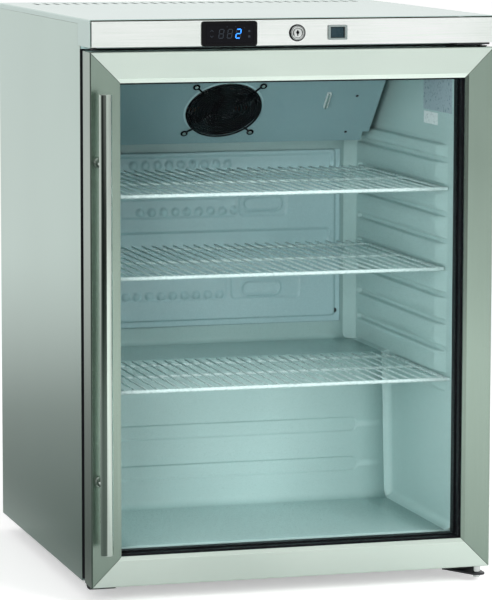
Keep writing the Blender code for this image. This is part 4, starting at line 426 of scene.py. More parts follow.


# Painted light and shade: the five brushed stainless finishes are one steel with different base tones. They are darker
# on the uprights, lighter on the level rails and the fascia, and in between on the side and the lid.
materials = {
    "upright_steel_painted_shade": metal("brushed_stainless_upright_painted_shade", "#93A599", "#8A9C90", (0.5, 0.5, 90), (0.20, 0.24), 0.001),
    "level_steel_painted_light": metal("brushed_stainless_level_painted_light", "#DCEAE0", "#D4E3D9", (90, 0.5, 0.5), (0.22, 0.26), 0.001),
    "side_steel_painted_half_shade": metal("brushed_stainless_side_painted_half_shade", "#B3CAC0", "#AFC6BC", (0.6, 0.6, 90), (0.21, 0.23), 0.001),
    "lid_steel_painted_half_shade": metal("brushed_stainless_lid_painted_half_shade", "#B7CEC7", "#B2C9C2", (90, 0.6, 0.6), (0.20, 0.24), 0.001),
    "fascia_steel_painted_light": metal("brushed_stainless_fascia_painted_light", "#FCFFFD", "#E4EDE6", (90, 0.5, 0.5), (0.22, 0.26), 0.001),
    "bar_steel": metal("satin_stainless_bar", "#CAD6CD", "#B8C6BC", (0.4, 0.4, 40), (0.08, 0.14), 0.001),
    "nickel": metal("nickel_plated_steel", "#E2E6E4", "#CDD3D0", (6, 6, 6), (0.10, 0.18)),
    "zinc": metal("galvanised_sheet", "#B5BABA", "#9AA1A2", (14, 14, 14), (0.34, 0.52), 0.01, detail=1.0),
    "fins": metal("mill_aluminium_fins", "#CDD0D2", "#A9AEB1", (0.6, 30, 30), (0.28, 0.42), 0.01),
    "copper": metal("bare_copper_pipe", "#C98560", "#9C5B3E", (12, 12, 12), (0.25, 0.45), 0.01),
}


# %% Plastics, paint and rubber
def plain(name, pale, dark, grain, rough, bump, gloss=0.5):
    """A grained finish whose grain is as wide every way; gloss is the specular level, 0.5 by default."""
    return grained(name, pale, dark, (grain,) * 3, rough, bump, {"Specular IOR Level": gloss})


materials.update({
    "liner_abs": plain("vacuum_formed_liner", "#AAC8C6", "#A0BEBC", 1.2, (0.26, 0.32), 0.006),
    "white_paint": plain("powder_coated_cover", "#AACACD", "#A0C0C4", 0.9, (0.24, 0.30), 0.008),
    # Painted shade: the evaporator cover is the duct's powder coat in a darker copy, because its face leans down and
    # away from the light.
    "cover_painted_shade": plain("evaporator_cover_painted_shade", "#86A5A9", "#7C9BA0", 0.9, (0.26, 0.32), 0.008),
    "coated_wire": plain("white_dip_coated_wire", "#CBE0DF", "#B9D1D0", 5, (0.24, 0.34), 0.02),
    "black_abs": plain("black_moulded_abs", "#121316", "#0C0D0F", 0.8, (0.45, 0.55), 0.01, 0.12),
    "gloss_black": plain("black_gloss_bezel", "#0B0B0D", "#08080A", 2, (0.30, 0.36), 0.003, 0.1),
    "fan_black": plain("black_fan_plastic", "#0B0A0E", "#08070A", 1, (0.7, 0.8), 0.01, 0.02),
    "rubber": plain("black_pvc_seal", "#17181B", "#0F1012", 1.5, (0.50, 0.65), 0.02, 0.3),
    "black_coat": plain("black_coated_steel", "#26272B", "#191A1D", 1, (0.35, 0.48), 0.01),
    "enamel": plain("black_compressor_enamel", "#1E1F21", "#18191B", 2, (0.26, 0.32), 0.002),
    "foam": plain("yellow_rigid_foam", "#DBC588", "#BFA567", 2.5, (0.85, 0.95), 0.3),
    "milky": plain("milky_lamp_cover", "#EFF3F0", "#E1E7E3", 3, (0.35, 0.45), 0.01),
    "grey_frame": plain("grey_switch_frame", "#788381", "#66716F", 1, (0.35, 0.45), 0.01),
    "teal_key": plain("dark_teal_rocker", "#1F343A", "#13262C", 2, (0.38, 0.50), 0.01, 0.3),
    "clip_white": plain("white_nylon_clip", "#DDE9E8", "#C9D8D8", 1, (0.35, 0.45), 0.01),
    "grey_film": plain("grey_label_film", "#98ACB4", "#8CA1AA", 4, (0.25, 0.35), 0.004),
    "white_film": plain("white_label_film", "#DCE8E8", "#D0DDDE", 4, (0.25, 0.35), 0.004),
    "smoked": plain("smoked_acrylic_window", "#0B0B0F", "#08080B", 20, (0.06, 0.10), 0.0, 0.1),
    "dim_print": plain("unlit_display_segments", "#2E343A", "#262B31", 1, (0.6, 0.7), 0.0, 0.1),
})


# %% Glass and lit segments
def clear_glass():
    """Toughened float glass with an antireflective finish: almost nothing is seen of it from in front, and
    towards a grazing view it gains its gloss, as 0.012 + 0.85 * (1 - cosine) ** 3."""
    material, tree, shader = started("toughened_float_glass", {
        "Base Color": linear("#F2FAF7"), "Transmission Weight": 1.0, "IOR": 1.5})
    tilt = add(tree, "LayerWeight", {"Blend": 0.5}).outputs["Facing"]
    cube = add(tree, "Math", {0: tilt, 1: 3.0}, operation="POWER")
    gloss = add(tree, "Math", {0: cube, 1: 0.85, 2: 0.012}, operation="MULTIPLY_ADD")
    place = add(tree, "TexCoord").outputs["Object"]
    smear = add(tree, "TexNoise", {"Vector": place, "Scale": 9.0, "Detail": 2.0})
    haze = add(tree, "MapRange", {"Value": smear, "From Min": 0.4, "From Max": 0.8, "To Max": 0.02})
    feed(tree, shader, {"Alpha": gloss, "Roughness": haze})
    return material


def lit(name, shade, strength):
    """A display segment behind smoked plastic: it gives off its own light."""
    material, tree, shader = started(name, {"Roughness": 0.3, "Base Color": linear(shade),
                                            "Emission Color": linear(shade)})
    place = add(tree, "TexCoord").outputs["Object"]
    fleck = add(tree, "TexNoise", {"Vector": place, "Scale": 900.0})
    glow = add(tree, "MapRange", {"Value": fleck, "To Min": strength * 0.85, "To Max": strength * 1.1})
    feed(tree, shader, {"Emission Strength": glow})
    return material


materials["glass"] = clear_glass()
materials["blue_light"] = lit("blue_display_segments", "#2C86FF", 1.5)
print("finishes:", len(materials))

# %% The CAD nodes that wear each finish
worn = {
    "fascia_steel_painted_light": "control_fascia", "side_steel_painted_half_shade": "side_panel_left side_panel_right", "lid_steel_painted_half_shade": "top_cover",
    "bar_steel": "handle_bar", "zinc": "rear_panel base_pan", "fins": "evaporator_coil",
    "nickel": "lock_housing lock_plug lock_cam upper_hinge_pin lower_hinge_pin handle_post_upper handle_post_lower",
    "copper": "discharge_pipe filter_drier", "liner_abs": "inner_liner", "cover_painted_shade": "evaporator_cover",
    "white_paint": "air_duct_panel drip_tray", "clip_white": "probe_clip", "gloss_black": "controller",
    "black_abs": "spacer_frame glazing_frame corner_bumper upper_hinge_bush lower_hinge_bush relay_box "
                 "evaporation_pan cable_gland",
    "fan_black": "fan_frame fan_rotor", "rubber": "door_gasket buffer_pad", "enamel": "compressor",
    "black_coat": "fan_guard condenser upper_hinge_bracket lower_hinge_bracket", "foam": "foam_body",
    "milky": "lamp_housing", "grey_frame": "switch_bezel", "teal_key": "switch_rocker",
    "glass": "glass_outer glass_inner", "smoked": "display_lens",
}
for finish, names in worn.items():
    for name in names.split():
        wearing = frame["nodes"][name].data.materials
        wearing.clear()
        wearing.append(materials[finish])
print("finished nodes:", sum(len(names.split()) for names in worn.values()))

# %% [markdown]
# ## The door frame
# The real frame is four folded steel profiles, mitred at the corners. Its section is one outline: a rounded
# outer edge, a flat face, and a bevel down to the glass. Each end is cut at 45 degrees, so a point further
# in from the edge ends further from the corner. A hair of space between two members draws the mitre line.

# %% Mitred frame members
HALF, DOOR_LOW, DOOR_HIGH, DOOR_FRONT = 299.0, 25.0, 785.0, -275.35
HAIR, HAIR_INSIDE, EASED = 0.22, 0.45, 0.35
NOTCH_X, NOTCH = (-29.4, 9.2), [(0, 25.6), (20, 25.6), (20, 19.6), (0, 19.6)]


def frame_section(notch=()):
    """Inset from the door's edge and depth behind its face; the notch lets the lock's cam in from above."""
    corners = [(0, 42.5), *notch, (0, 0), (38, 0), (43.9, 1.7), (43.9, 3.0), (36, 3.0), (36, 42.5)]
    return soften(corners, [0.4] + [0] * len(notch) + [1.8, 2.0, 0.5, 0.3, 0, 0.4], 6)


def member(side):
    """Rows run along the member; its ends lie on the corner's diagonal: end = corner - inset - hair."""
    inset, depth = frame_section().T
    low, high = DOOR_LOW + inset, DOOR_HIGH - inset
    left, right = -HALF + inset, HALF - inset
    y = DOOR_FRONT + depth
    rows = []
    for end, gap in ((0, HAIR), (0, HAIR_INSIDE), (1, HAIR_INSIDE), (1, HAIR)):
        drop = EASED * (gap == HAIR) * (depth < 1.0)
        if side in ("left", "right"):
            x = left if side == "left" else right
            z = (low + gap, high - gap)[end]
        else:
            x = (left + gap, right - gap)[end]
            z = low if side == "low" else high
        rows.append(np.stack([x + 0 * y, y + drop, z + 0 * y], 1))
    return np.stack(rows)


def top_member():
    """The top member in three lengths between its mitres: the middle one carries the notch."""
    whole, lengths = member("high"), []
    for notch, spots in (((), NOTCH_X[:1]), (NOTCH, NOTCH_X), ((), NOTCH_X[1:])):
        inset, depth = frame_section(notch).T
        lengths.append([np.stack([x + 0 * inset, DOOR_FRONT + depth, DOOR_HIGH - inset], 1) for x in spots])
    return [np.stack([*whole[:2], *lengths[0]]), np.stack(lengths[1]), np.stack([*lengths[2], *whole[2:]])]


for side, name in (("left", "stile_left"), ("right", "stile_right"), ("high", "rail_top"), ("low", "rail_bottom")):
    # The uprights take the steel's painted shade copy, and the level members take its painted light copy.
    steel = "upright_steel_painted_shade" if side in ("left", "right") else "level_steel_painted_light"
    grids = top_member() if side == "high" else [member(side)]
    piece("mitred_" + name, "door", steel, *grids, stands_for=name)
print("door members mitred")


# %% Black trim round the glass
def ring_grid(section, half=HALF, low=DOOR_LOW, high=DOOR_HIGH, front=DOOR_FRONT):
    """A section of (inset, depth) carried round a rectangle, mitred at its four corners."""
    inset, depth = np.asarray(section, float).T
    rows = []
    for a, b in ((-1, 0), (1, 0), (1, 1), (-1, 1)):
        rows.append(np.stack([a * (half - inset), front + depth, (high - inset) if b else (low + inset)], 1))
    return np.stack(rows)


bead = soften([(36.3, 24.6), (47.4, 24.6), (47.4, 38.5), (44.4, 42.4), (36.3, 42.4)], [0.2, 0.6, 1.5, 1.5, 0.3], 5)
piece("moulded_glazing_bead", "door", "black_abs", ring_grid(bead), ring=True, stands_for="glazing_frame")
spacer = soften([(36.3, 8.6), (44.2, 8.6), (45.6, 9.4), (45.6, 19.3), (44.2, 20.0), (36.3, 20.0)],
                [0.1, 0.5, 0.5, 0.5, 0.5, 0.1], 4)
piece("black_spacer_bar", "door", "black_abs", ring_grid(spacer), ring=True, stands_for="spacer_frame")
print("glass trimmed")

# %% [markdown]
# ## The bar handle
# A ground round bar stands on two turned posts. A turned piece is a profile of radius and height spun about
# its axis; the eased ends are small arcs in that profile. The posts' heads are saddled onto the bar.

# %% Handle bar and posts
BAR_X, BAR_Y, SADDLE = -286.5, -315.35, 9.3


def post(level):
    """A post with a wider foot; each head point is cut back to the bar: y = bar's middle + sqrt(SADDLE² - x²)."""
    grid = spun([(0.5, 39.7), (8, 39.7), (8, 36.8), (6.5, 36.2), (6.5, 0)], [0, 0.5, 0.5, 1.5, 0], 4,
                (BAR_X, BAR_Y, level), (0, 1, 0))
    reach = np.sqrt(np.maximum(SADDLE ** 2 - (grid[..., 0] - BAR_X) ** 2, 0))
    grid[..., 1] = np.maximum(grid[..., 1], BAR_Y + reach)
    return grid


bar = spun([(0.5, 80), (9, 80), (9, 729.5), (0.5, 729.5)], [0, 1.2, 1.2, 0], 6, (BAR_X, BAR_Y, 0), sides=72)
piece("ground_handle_bar", "door", "bar_steel", bar, stands_for="handle_bar")
for name, level in (("upper", 630.5), ("lower", 179.0)):
    piece("turned_handle_post_" + name, "door", "bar_steel", post(level), stands_for="handle_post_" + name)
print("handle set on its posts")

# %% [markdown]
# ## The lining
# The white tub is one plastic sheet drawn over a mould. Its middle is a side view carried across the cabinet:
# floor, hump for the compressor, back wall and ceiling. Two long beads stiffen the hump. Its side walls are
# height maps: the distance from the cabinet's middle is a function of depth and height, with a block that
# rises 7 mm from the wall, nine soft grooves for the shelves, and a round fillet wherever a wall meets another.

# %% Tub
FACE, BACK, FLOOR, CEILING, WALL = -215.65, 246.35, 70.0, 751.0, 263.0
HUMP_Z, HUMP_HEAD, HUMP_FOOT, FILLET, SHEET = 295.0, 84.35, 68.35, 12.0, 1.5
BEAD_END, BEAD_HALF, BEAD_DEEP = 197.5, 10.5, 2.2


def food_space(front):
    """Corners of the food space, seen from the side, from the floor's front round to the ceiling's front."""
    return [(front, FLOOR), (HUMP_FOOT, FLOOR), (HUMP_HEAD, HUMP_Z), (BACK, HUMP_Z), (BACK, CEILING),
            (front, CEILING)]


def side_view():
    """The food space with its corners softened."""
    return soften(food_space(FACE + SHEET), [0, 14, 10, 8, 10, 0], 8, closed=False)


def refined(path, step):
    """The path with more points where two neighbours are further apart than a step."""
    length = np.concatenate([[0], np.cumsum(np.linalg.norm(np.diff(path, axis=0), axis=1))])
    extra = np.arange(0, length[-1], step)
    spots = np.unique(np.round(np.concatenate([length, extra]), 4))
    return np.stack([np.interp(spots, length, path[:, k]) for k in range(path.shape[1])], 1)


def bead_depth(x, z):
    """Two round ended recesses: BEAD_DEEP where the distance to the bead's middle line is under BEAD_HALF."""
    depth = np.zeros(np.broadcast(x, z).shape)
    for middle in (123.5, 184.5):
        reach = np.hypot(np.maximum(np.abs(x) - BEAD_END, 0), z - middle)
        depth = np.maximum(depth, BEAD_DEEP * steep(BEAD_HALF - reach, 2.4))
    return depth


def tub():
    """The side view carried across in X, pushed back where the beads are."""
    path = refined(side_view(), 12.0)
    near_beads = (path[:, 0] > 60) & (path[:, 1] > 85) & (path[:, 1] < 215)
    fine = refined(path[near_beads], 0.9)
    first, last = np.flatnonzero(near_beads)[[0, -1]]
    path = np.concatenate([path[:first], fine, path[last + 1:]])
    ends = BEAD_END + BEAD_HALF * np.sin(np.linspace(-1.2, 1.6, 16))
    across = np.concatenate([-ends[::-1], np.linspace(-180, 180, 31), ends])
    across = np.unique(np.concatenate([[-(WALL - FILLET), WALL - FILLET], across]))
    y, z = path.T
    x, y, z = np.broadcast_arrays(across[None], y[:, None], z[:, None])
    on_front = (y > 60) & (y < HUMP_HEAD) & (z < HUMP_Z - 12)
    return np.stack([x, y + bead_depth(x, z) * on_front, z], -1)


# %% Side walls
GROOVES, GROOVE_PITCH, FIRST_GROOVE, GROOVE_HALF, GROOVE_DEEP, GROOVE_END = 9, 40, 294, 4.2, 6.4, 219.0
BLOCK_FOOT, BLOCK_HEAD, BLOCK_DEEP, RAMP_START, RAMP = 272, 636, 7.0, -181.65, 36.0
STRIP_Y, STRIP_HEAD = 229.35, 628.5
ARC = FILLET * (1 - np.cos(np.linspace(0, np.pi / 2, 8)))


def to_edge(y, z):
    """Distance from a wall point to the nearest side of the food space, as seen from the side."""
    corners = np.array(food_space(FACE - 50))
    spot = np.stack([y, z], -1)[..., None, :]
    start, along = corners[:-1], np.diff(corners, axis=0)
    share = np.clip(((spot - start) * along).sum(-1) / (along ** 2).sum(-1), 0, 1)
    return np.linalg.norm(spot - start - share[..., None] * along, axis=-1).min(-1)


def wall_height(y, z):
    """How far the wall stands into the space: fillet, runner block less its grooves, and corner strip."""
    near = np.clip(FILLET - to_edge(y, z), 0, FILLET)
    fillet = FILLET - np.sqrt(np.maximum(FILLET ** 2 - near ** 2, 0))
    block = steep(z - BLOCK_FOOT, 3) * steep(BLOCK_HEAD - z, 3) * np.clip((y - RAMP_START) / RAMP, 0, 1)
    groove = np.zeros(y.shape)
    for index in range(GROOVES):
        reach = np.hypot(np.maximum(y - GROOVE_END, 0) * 0.8, z - FIRST_GROOVE - GROOVE_PITCH * index)
        groove = np.maximum(groove, steep(GROOVE_HALF - reach, 2.6))
    strip = (y - STRIP_Y + BLOCK_DEEP) * steep(STRIP_HEAD - z, 2) * (y > 226) * (z > HUMP_Z)
    return np.maximum(np.maximum(fillet, block * (BLOCK_DEEP - GROOVE_DEEP * groove)), strip)


def wall_levels(low, high):
    """Heights with close rows at the fillets, the block's edges and the grooves' edges."""
    edge = np.array([-1.6, -0.8, -0.2, 0.5, 1.3, 2.4, 4.0, 5.6, 6.7, 7.5, 8.2, 8.8, 9.6])
    grooves = (FIRST_GROOVE - 4 + GROOVE_PITCH * np.arange(GROOVES)[:, None] + edge).ravel()
    blocks = (np.array([BLOCK_FOOT, BLOCK_HEAD, STRIP_HEAD])[:, None] + [-1.5, -0.7, 0, 0.7, 1.5]).ravel()
    coarse = np.arange(low, high, 14.0)
    every = np.concatenate([low + ARC, high - ARC, grooves, blocks, coarse])
    return np.unique(np.round(every[(every >= low) & (every <= high)], 3))


def wall(side, part):
    """Grid of one side wall: x = side * (WALL - height(y, z)); the lower part ends at the slanted hump."""
    front = np.concatenate([[FACE + SHEET, -200, -190], np.linspace(-183, -144, 14), np.arange(-130, 60, 13.0),
                            HUMP_HEAD - ARC])
    if part == "low":
        z = wall_levels(FLOOR, HUMP_Z)[:, None]
        slant = HUMP_FOOT + (HUMP_HEAD - HUMP_FOOT) * (z - FLOOR) / (HUMP_Z - FLOOR)
        y = FACE + (np.unique(front)[None] - FACE) * (slant - FACE) / (HUMP_HEAD - FACE)
    else:
        z = wall_levels(HUMP_Z, CEILING)[:, None]
        rear = np.concatenate([np.arange(HUMP_HEAD, 205, 14.0), np.linspace(208, 228, 11), BACK - ARC,
                               [STRIP_Y, 226.2, 232, 238, 242]])
        y = np.unique(np.round(np.concatenate([front, rear]), 3))[None]
    y, z = np.broadcast_arrays(y, z)
    return np.stack([side * (WALL - wall_height(y, z)), y, z], -1)


# %% Front flange and the whole lining
def flange():
    """The flat rim behind the seal, from the shell's edge to the food space's opening."""
    rim = soften([(0, 0), (34.7, 0), (34.7, 1.5), (0, 1.5)], [0, 1.2, 0, 0], 5)
    grid = ring_grid(rim, 297.7, 26.8, 821.7, FACE)
    inner = rim[:, 0] > 20
    grid[0:2, inner, 2] += 8.5
    grid[2:4, inner, 2] -= 36.0
    return grid


skins = [skin(tub(), around=False)]
for side in (-1, 1):
    skins += [skin(wall(side, part), around=False, flip=side > 0) for part in ("low", "high")]
lining = piece("vacuum_formed_tub", "cabinet", "liner_abs", *skins, sharp=60, stands_for="inner_liner")
sheet(lining, SHEET)
piece("lining_flange", "cabinet", "liner_abs", flange(), ring=True)
print("lining points:", len(lining.data.vertices))

# %% [markdown]
# ## Wire shelves
# A shelf is welded from straight round wires and then dip coated. Every wire is a short grid: circles along
# a straight path, with a domed end. The front bar is thick, and the thin wires lie on it and on the rods.

# %% Domed wires
def rod(start, end, radius, sides, flat=(0, 0, 1)):
    """Straight wires between start and end points, their ends domed: radius * sqrt(1 - t²) near each end."""
    start, end = np.atleast_2d(np.asarray(start, float)), np.atleast_2d(np.asarray(end, float))
    way = unit(end - start)[:, None]
    t = np.array([0.95, 0.75, 0.4, 0.0])
    inset = radius * 0.6 * (1 - t)
    near = start[:, None] + way * inset[None, :, None]
    far = end[:, None] - way * inset[::-1][None, :, None]
    path = np.concatenate([near, far], 1)
    thin = np.sqrt(1 - t ** 2)
    sizes = radius * np.concatenate([thin, thin[::-1]])
    side = unit(np.cross(way[:, 0], np.asarray(flat, float)))[:, None, None]
    return path[:, :, None] + sizes[None, :, None, None] * circle(side, np.cross(side, way[:, :, None]), sides)


def shelf(name, floor_z, front, depth):
    """A thick front bar, two cross rods and two side rods, and 31 thin wires, with these radii."""
    bar, thick, thin, pitch, half, back = 2.75, 2.0, 1.4, 16.6, 261.7, front + depth
    lines = [(front + bar, bar), (front + depth / 2, thick), (back - 30, thick)]
    rods = [rod((-half, y, floor_z + r), (half, y, floor_z + r), r, 14) for y, r in lines]
    side = np.array([-1, 1])[:, None] * [half - thick, 0, 0]
    rods.append(rod(side + [0, front + bar, floor_z + 2.2], side + [0, back - 30, floor_z + 2.2], thick, 12))
    x = np.arange(-15, 16) * pitch
    low, high = [np.stack([x, 0 * x + y, 0 * x + floor_z + 4.6], 1) for y in (front + 0.1, back)]
    rods.append(rod(low, high, thin, 12))
    return piece("wire_" + name, name, "coated_wire", *rods, sharp=50, stands_for=name)


for name, place in {"shelf_top": (570.3, -190.65, 385), "shelf_middle": (450.3, -175.65, 385),
                    "shelf_bottom": (290.3, -205.65, 284)}.items():
    print(name, "points:", len(shelf(name, *place).data.vertices))

# %% [markdown]
# ## Fan, guard and sloped cover
# The cover leans 45.8 degrees, so its pieces are drawn in the cover's own frame: right, up the slope, and out
# into the food space. Seven twisted blades are one grid each: an aerofoil section carried outwards while its
# pitch falls. The guard is rings on four legs that end in screw loops.

# %% The slope's frame
SLOPE = np.radians(45.77)
AHEAD, OUT = np.array([0, -np.cos(SLOPE), np.sin(SLOPE)]), np.array([0, -np.sin(SLOPE), -np.cos(SLOPE)])
SLOPE_FOOT, FAN_UP, HOLE, MESH, MESH_PITCH = np.array([0, 154.35, 618.5]), 77.8, 52.5, 57.8, 2.6


def on_slope(points, up=FAN_UP):
    """Points of (right, up, out) from a spot on the cover's middle line to the cabinet's own axes."""
    p = np.asarray(points, float)
    return SLOPE_FOOT + p[..., :1] * [1, 0, 0] + (p[..., 1:2] + up) * AHEAD + p[..., 2:] * OUT


def rings(radii, level, thick, centres=((0, 0),)):
    """Wire circles around one or more centres."""
    flat = circle(np.array([1, 0, 0]), np.array([0, 1, 0]), 64)
    paths = [radius * flat + [a, b, level] for radius in radii for a, b in centres]
    return wire(on_slope(np.stack(paths)), thick, OUT, 8, closed=True)


def legs():
    """Four bent legs from the middle of the guard down to the loops round its four screws."""
    turn = np.radians([45, 135, 225, 315])
    way = np.stack([np.cos(turn), np.sin(turn), 0 * turn], 1)[:, None]
    reach, level = np.array([10, 56, 61, 66, 70.2]), np.array([2.6, 2.6, 2.2, 1.5, 1.4])
    paths = way * reach[None, :, None] + level[None, :, None] * [0, 0, 1]
    return wire(on_slope(paths), 1.4, OUT, 8)


corners = [(a, b) for a in (-HOLE, HOLE) for b in (-HOLE, HOLE)]
screws = [spun([(0.4, 2.6), (2.6, 2.6), (3.4, 1.2), (3.4, 0.3)], [0, 0.8, 0.3, 0], 4, on_slope((a, b, 0)), OUT, 24)
          for a, b in corners]
piece("finger_guard", "cabinet", "fan_black", skin(rings(tuple(range(5, 58, 4)) + (58.0,), 4.0, 1.0), ring=True),
      skin(rings((4.4,), 1.5, 1.4, corners), ring=True), legs(), stands_for="fan_guard", sharp=60)


# Painted shade: a dense black screen across the fan opening makes it read as black as the shaded hollow behind the
# guard.
def screen():
    """Straight wires 0.9 mm thick, both ways, each as long as the round opening's chord."""
    level = np.arange(-21, 22) * MESH_PITCH
    chord = np.sqrt(MESH ** 2 - level ** 2)
    across = [np.stack([way * chord, level, 0 * level - 0.6], 1) for way in (-1, 1)]
    upward = [np.stack([level, way * chord, 0 * level + 0.2], 1) for way in (-1, 1)]
    return on_slope(rod(*across, 0.45, 6)), on_slope(rod(*upward, 0.45, 6, (1, 0, 0.01)))


piece("fan_opening_painted_shade_screen", "cabinet", "fan_black", *screen(), skin(rings((58.2,), -0.2, 0.6), ring=True), sharp=60)
piece("guard_screws", "cabinet", "nickel", *screws, sharp=30)


# %% Fan rotor
BLADES = 7


def blades():
    """Section: chord 16 (1 + s / 2) mm, camber and thickness as sine arches; pitch 42 down to 26 degrees."""
    share = np.linspace(0, 1, 14)[:, None]
    radius = 18 + 36 * share
    t = np.linspace(0, 2 * np.pi, 20, endpoint=False)[None]
    along = 8 * (1 + share / 2) * np.cos(t) * (1 - 0.25 * share ** 6)
    arch = 1.6 * (1 + share / 2) * np.sin(np.pi * (np.cos(t) + 1) / 2)
    height = arch + 0.8 * np.sin(t)
    pitch = np.radians(42 - 16 * share)
    a, c = along * np.cos(pitch) - height * np.sin(pitch), along * np.sin(pitch) + height * np.cos(pitch)
    turns = a / radius + (np.arange(BLADES) * 2 * np.pi / BLADES)[:, None, None] + 0.35 * share
    grid = np.stack([radius * np.cos(turns), radius * np.sin(turns), np.broadcast_to(c, turns.shape) - 10.6], -1)
    return on_slope(grid)


centre = on_slope((0, 0, 0))
hub = spun([(0.4, -15.6), (21, -15.6), (21, -6.0), (0.4, -6.0)], [0, 0.6, 2.5, 0], 6, centre, OUT, 64)
piece("moulded_fan_rotor", "fan", "fan_black", blades(), hub, stands_for="fan_rotor", sharp=40)
print("fan and guard drawn on the slope")


# %% [markdown]
# ## Air duct panel
# The panel on the back wall is pressed from one sheet. It is a height map again: two wide fields and four
# shallow fields are let in, the air hoods are small domes, and the long bosses have a raised rim.

# %% Duct panel
def field(x, z, low, high, edge, corner):
    """1 inside a round cornered rectangle and 0 outside, with a soft step: from its signed distance."""
    middle = (np.add(low, high)) / 2
    half = np.subtract(high, low) / 2 - corner
    a, b = np.maximum(np.abs(x - middle[0]) - half[0], 0), np.maximum(np.abs(z - middle[1]) - half[1], 0)
    return steep(corner - np.hypot(a, b), edge)


def duct_relief(x, z):
    """Depth of the panel behind its highest face, in millimetres."""
    rim = 3.5 * (1 - field(x, z, (-223, 333), (223, 598), 2.5, 6))
    deep = np.zeros(x.shape)
    for depth, corner, low, high in (
            (4.2, 5, (-218, 530), (218, 590.6)), (4.2, 5, (-214, 408), (214, 472)), (2.0, 6, (-128, 365), (43.5, 402)),
            (2.0, 6, (53, 365), (164.5, 402)), (2.0, 6, (-128, 495.5), (62, 524)), (2.0, 6, (66, 495.5), (143, 530))):
        deep = np.maximum(deep, depth * field(x, z, low, high, 2.0, corner))
    for level, last in ((372, 33.2), (504, 56.6), (578, 47.0)):
        for index in range(9):
            reach = np.hypot(x - last + 19 * index, z - level) / 6.5
            deep = deep - 3.4 * np.sqrt(np.maximum(1 - reach ** 2, 0))
    for low, high in (((68, 368), (134, 394)), ((70, 501), (136, 527))):
        boss = field(x, z, low, high, 1.8, 12.5)
        inner = field(x, z, np.add(low, 3.5), np.subtract(high, 3.5), 1.8, 9.0)
        deep = deep - 2.6 * boss + 2.4 * inner
    return rim + deep


def duct_panel():
    """The height map on a 1.8 mm grid, nowhere further back than the back wall."""
    x = np.linspace(-233, 233, 261)
    z = np.unique(np.concatenate([np.linspace(323, 598, 154), [327, 332, 334]]))
    x, z = np.meshgrid(x, z)
    y = 239.9 + duct_relief(x, z)
    return np.stack([x, np.minimum(y, 244.4), z], -1)


panel = piece("pressed_air_duct", "cabinet", "white_paint", skin(duct_panel(), around=False),
              stands_for="air_duct_panel", sharp=60)
sheet(panel, 1.2)


# %% Screws
def pan_head(spot, way, size):
    """A low domed screw head that stands on a spot and faces a way. Its size is its radius."""
    return spun([(0.3, size * 0.55), (size * 0.6, size * 0.5), (size, 0.3), (size, 0)],
                [0, size * 0.3, size * 0.15, 0], 4, spot, way, 24)


duct_screws = [pan_head((x, 242.9, 340.5), (0, -1, 0), 4.0) for x in (-223.3, 223.3)]
cover_screws = [pan_head(on_slope((x, up, 0), 0), OUT, 2.4) for x in (-208, 208) for up in (20, 103)]
piece("inner_screws", "cabinet", "black_coat", *duct_screws, *cover_screws, sharp=30)
print("duct panel points:", len(panel.data.vertices))

# %% [markdown]
# ## Controls
# The thermostat's window shows three seven segment digits. Each segment is a small hexagon, leaned 8
# degrees, and only the last digit is lit. The keys are printed arrows. The lock's ring is turned, and the
# rocker is a block with a hollow face.

# %% Display segments
CONTROL_Z, LENS_Y, LEAN = 808.5, -277.55, 0.14
WIDE, TALL, THICK = 3.2, 6.2, 0.6
LEVEL = {"a": (0, TALL), "g": (0, 0), "d": (0, -TALL)}
STAND = {"f": (-WIDE, TALL / 2), "b": (WIDE, TALL / 2), "e": (-WIDE, -TALL / 2), "c": (WIDE, -TALL / 2)}


def hexagons(centres, half, upright=False):
    """Outlines of pointed bars, half long and THICK to each side; x gains LEAN * height."""
    bar = np.array([(-half, 0), (-half + THICK, THICK), (half - THICK, THICK), (half, 0), (half - THICK, -THICK),
                    (-half + THICK, -THICK)])
    points = np.asarray(centres, float)[:, None] + (bar[:, ::-1] if upright else bar)
    points[..., 0] += LEAN * (points[..., 1] - CONTROL_Z)
    return points


def mark(outlines):
    """Flat outlines in X and Z made thin solids just in front of the window."""
    flat = np.asarray(outlines, float)
    flat = flat[None] if flat.ndim == 2 else flat
    ends = [np.insert(flat, 1, LENS_Y + ahead, axis=-1) for ahead in (0.02, -0.12)]
    return np.stack(ends, 1)


def digit(x, names):
    """The chosen segments of one digit."""
    across = [(x + LEVEL[n][0], CONTROL_Z + LEVEL[n][1]) for n in names if n in LEVEL]
    along = [(x + STAND[n][0], CONTROL_Z + STAND[n][1]) for n in names if n in STAND]
    rows = ([hexagons(across, 2.9)] if across else []) + ([hexagons(along, 2.8, True)] if along else [])
    return [mark(outlines) for outlines in rows]


unlit = digit(-109.6, "abcdefg") + digit(-97.2, "abcdefg") + digit(-84.6, "fc")
for x, z, way in ((-123.5, 812.9, 1), (-123.5, 804.5, -1)):
    unlit.append(mark([(x - 2.6, z - way), (x, z + 1.4 * way), (x + 2.6, z - way), (x + 1.9, z - 1.5 * way),
                       (x, z + 0.3 * way), (x - 1.9, z - 1.5 * way)]))
for x, z in ((-101.2, 818.3), (-88.5, 818.3), (-76.1, 816.6)):
    unlit.append(mark(box_outline((x - 0.6, z - 0.6), (x + 0.6, z + 0.6), 0.5, 4)))
for z in (812.0, 804.4):
    unlit.append(mark(box_outline((-70.4, z - 1.5), (-67.2, z + 1.5), 1.0, 4)))
piece("unlit_segments", "cabinet", "dim_print", *unlit)
piece("lit_segments", "cabinet", "blue_light", *digit(-84.6, "abged"))

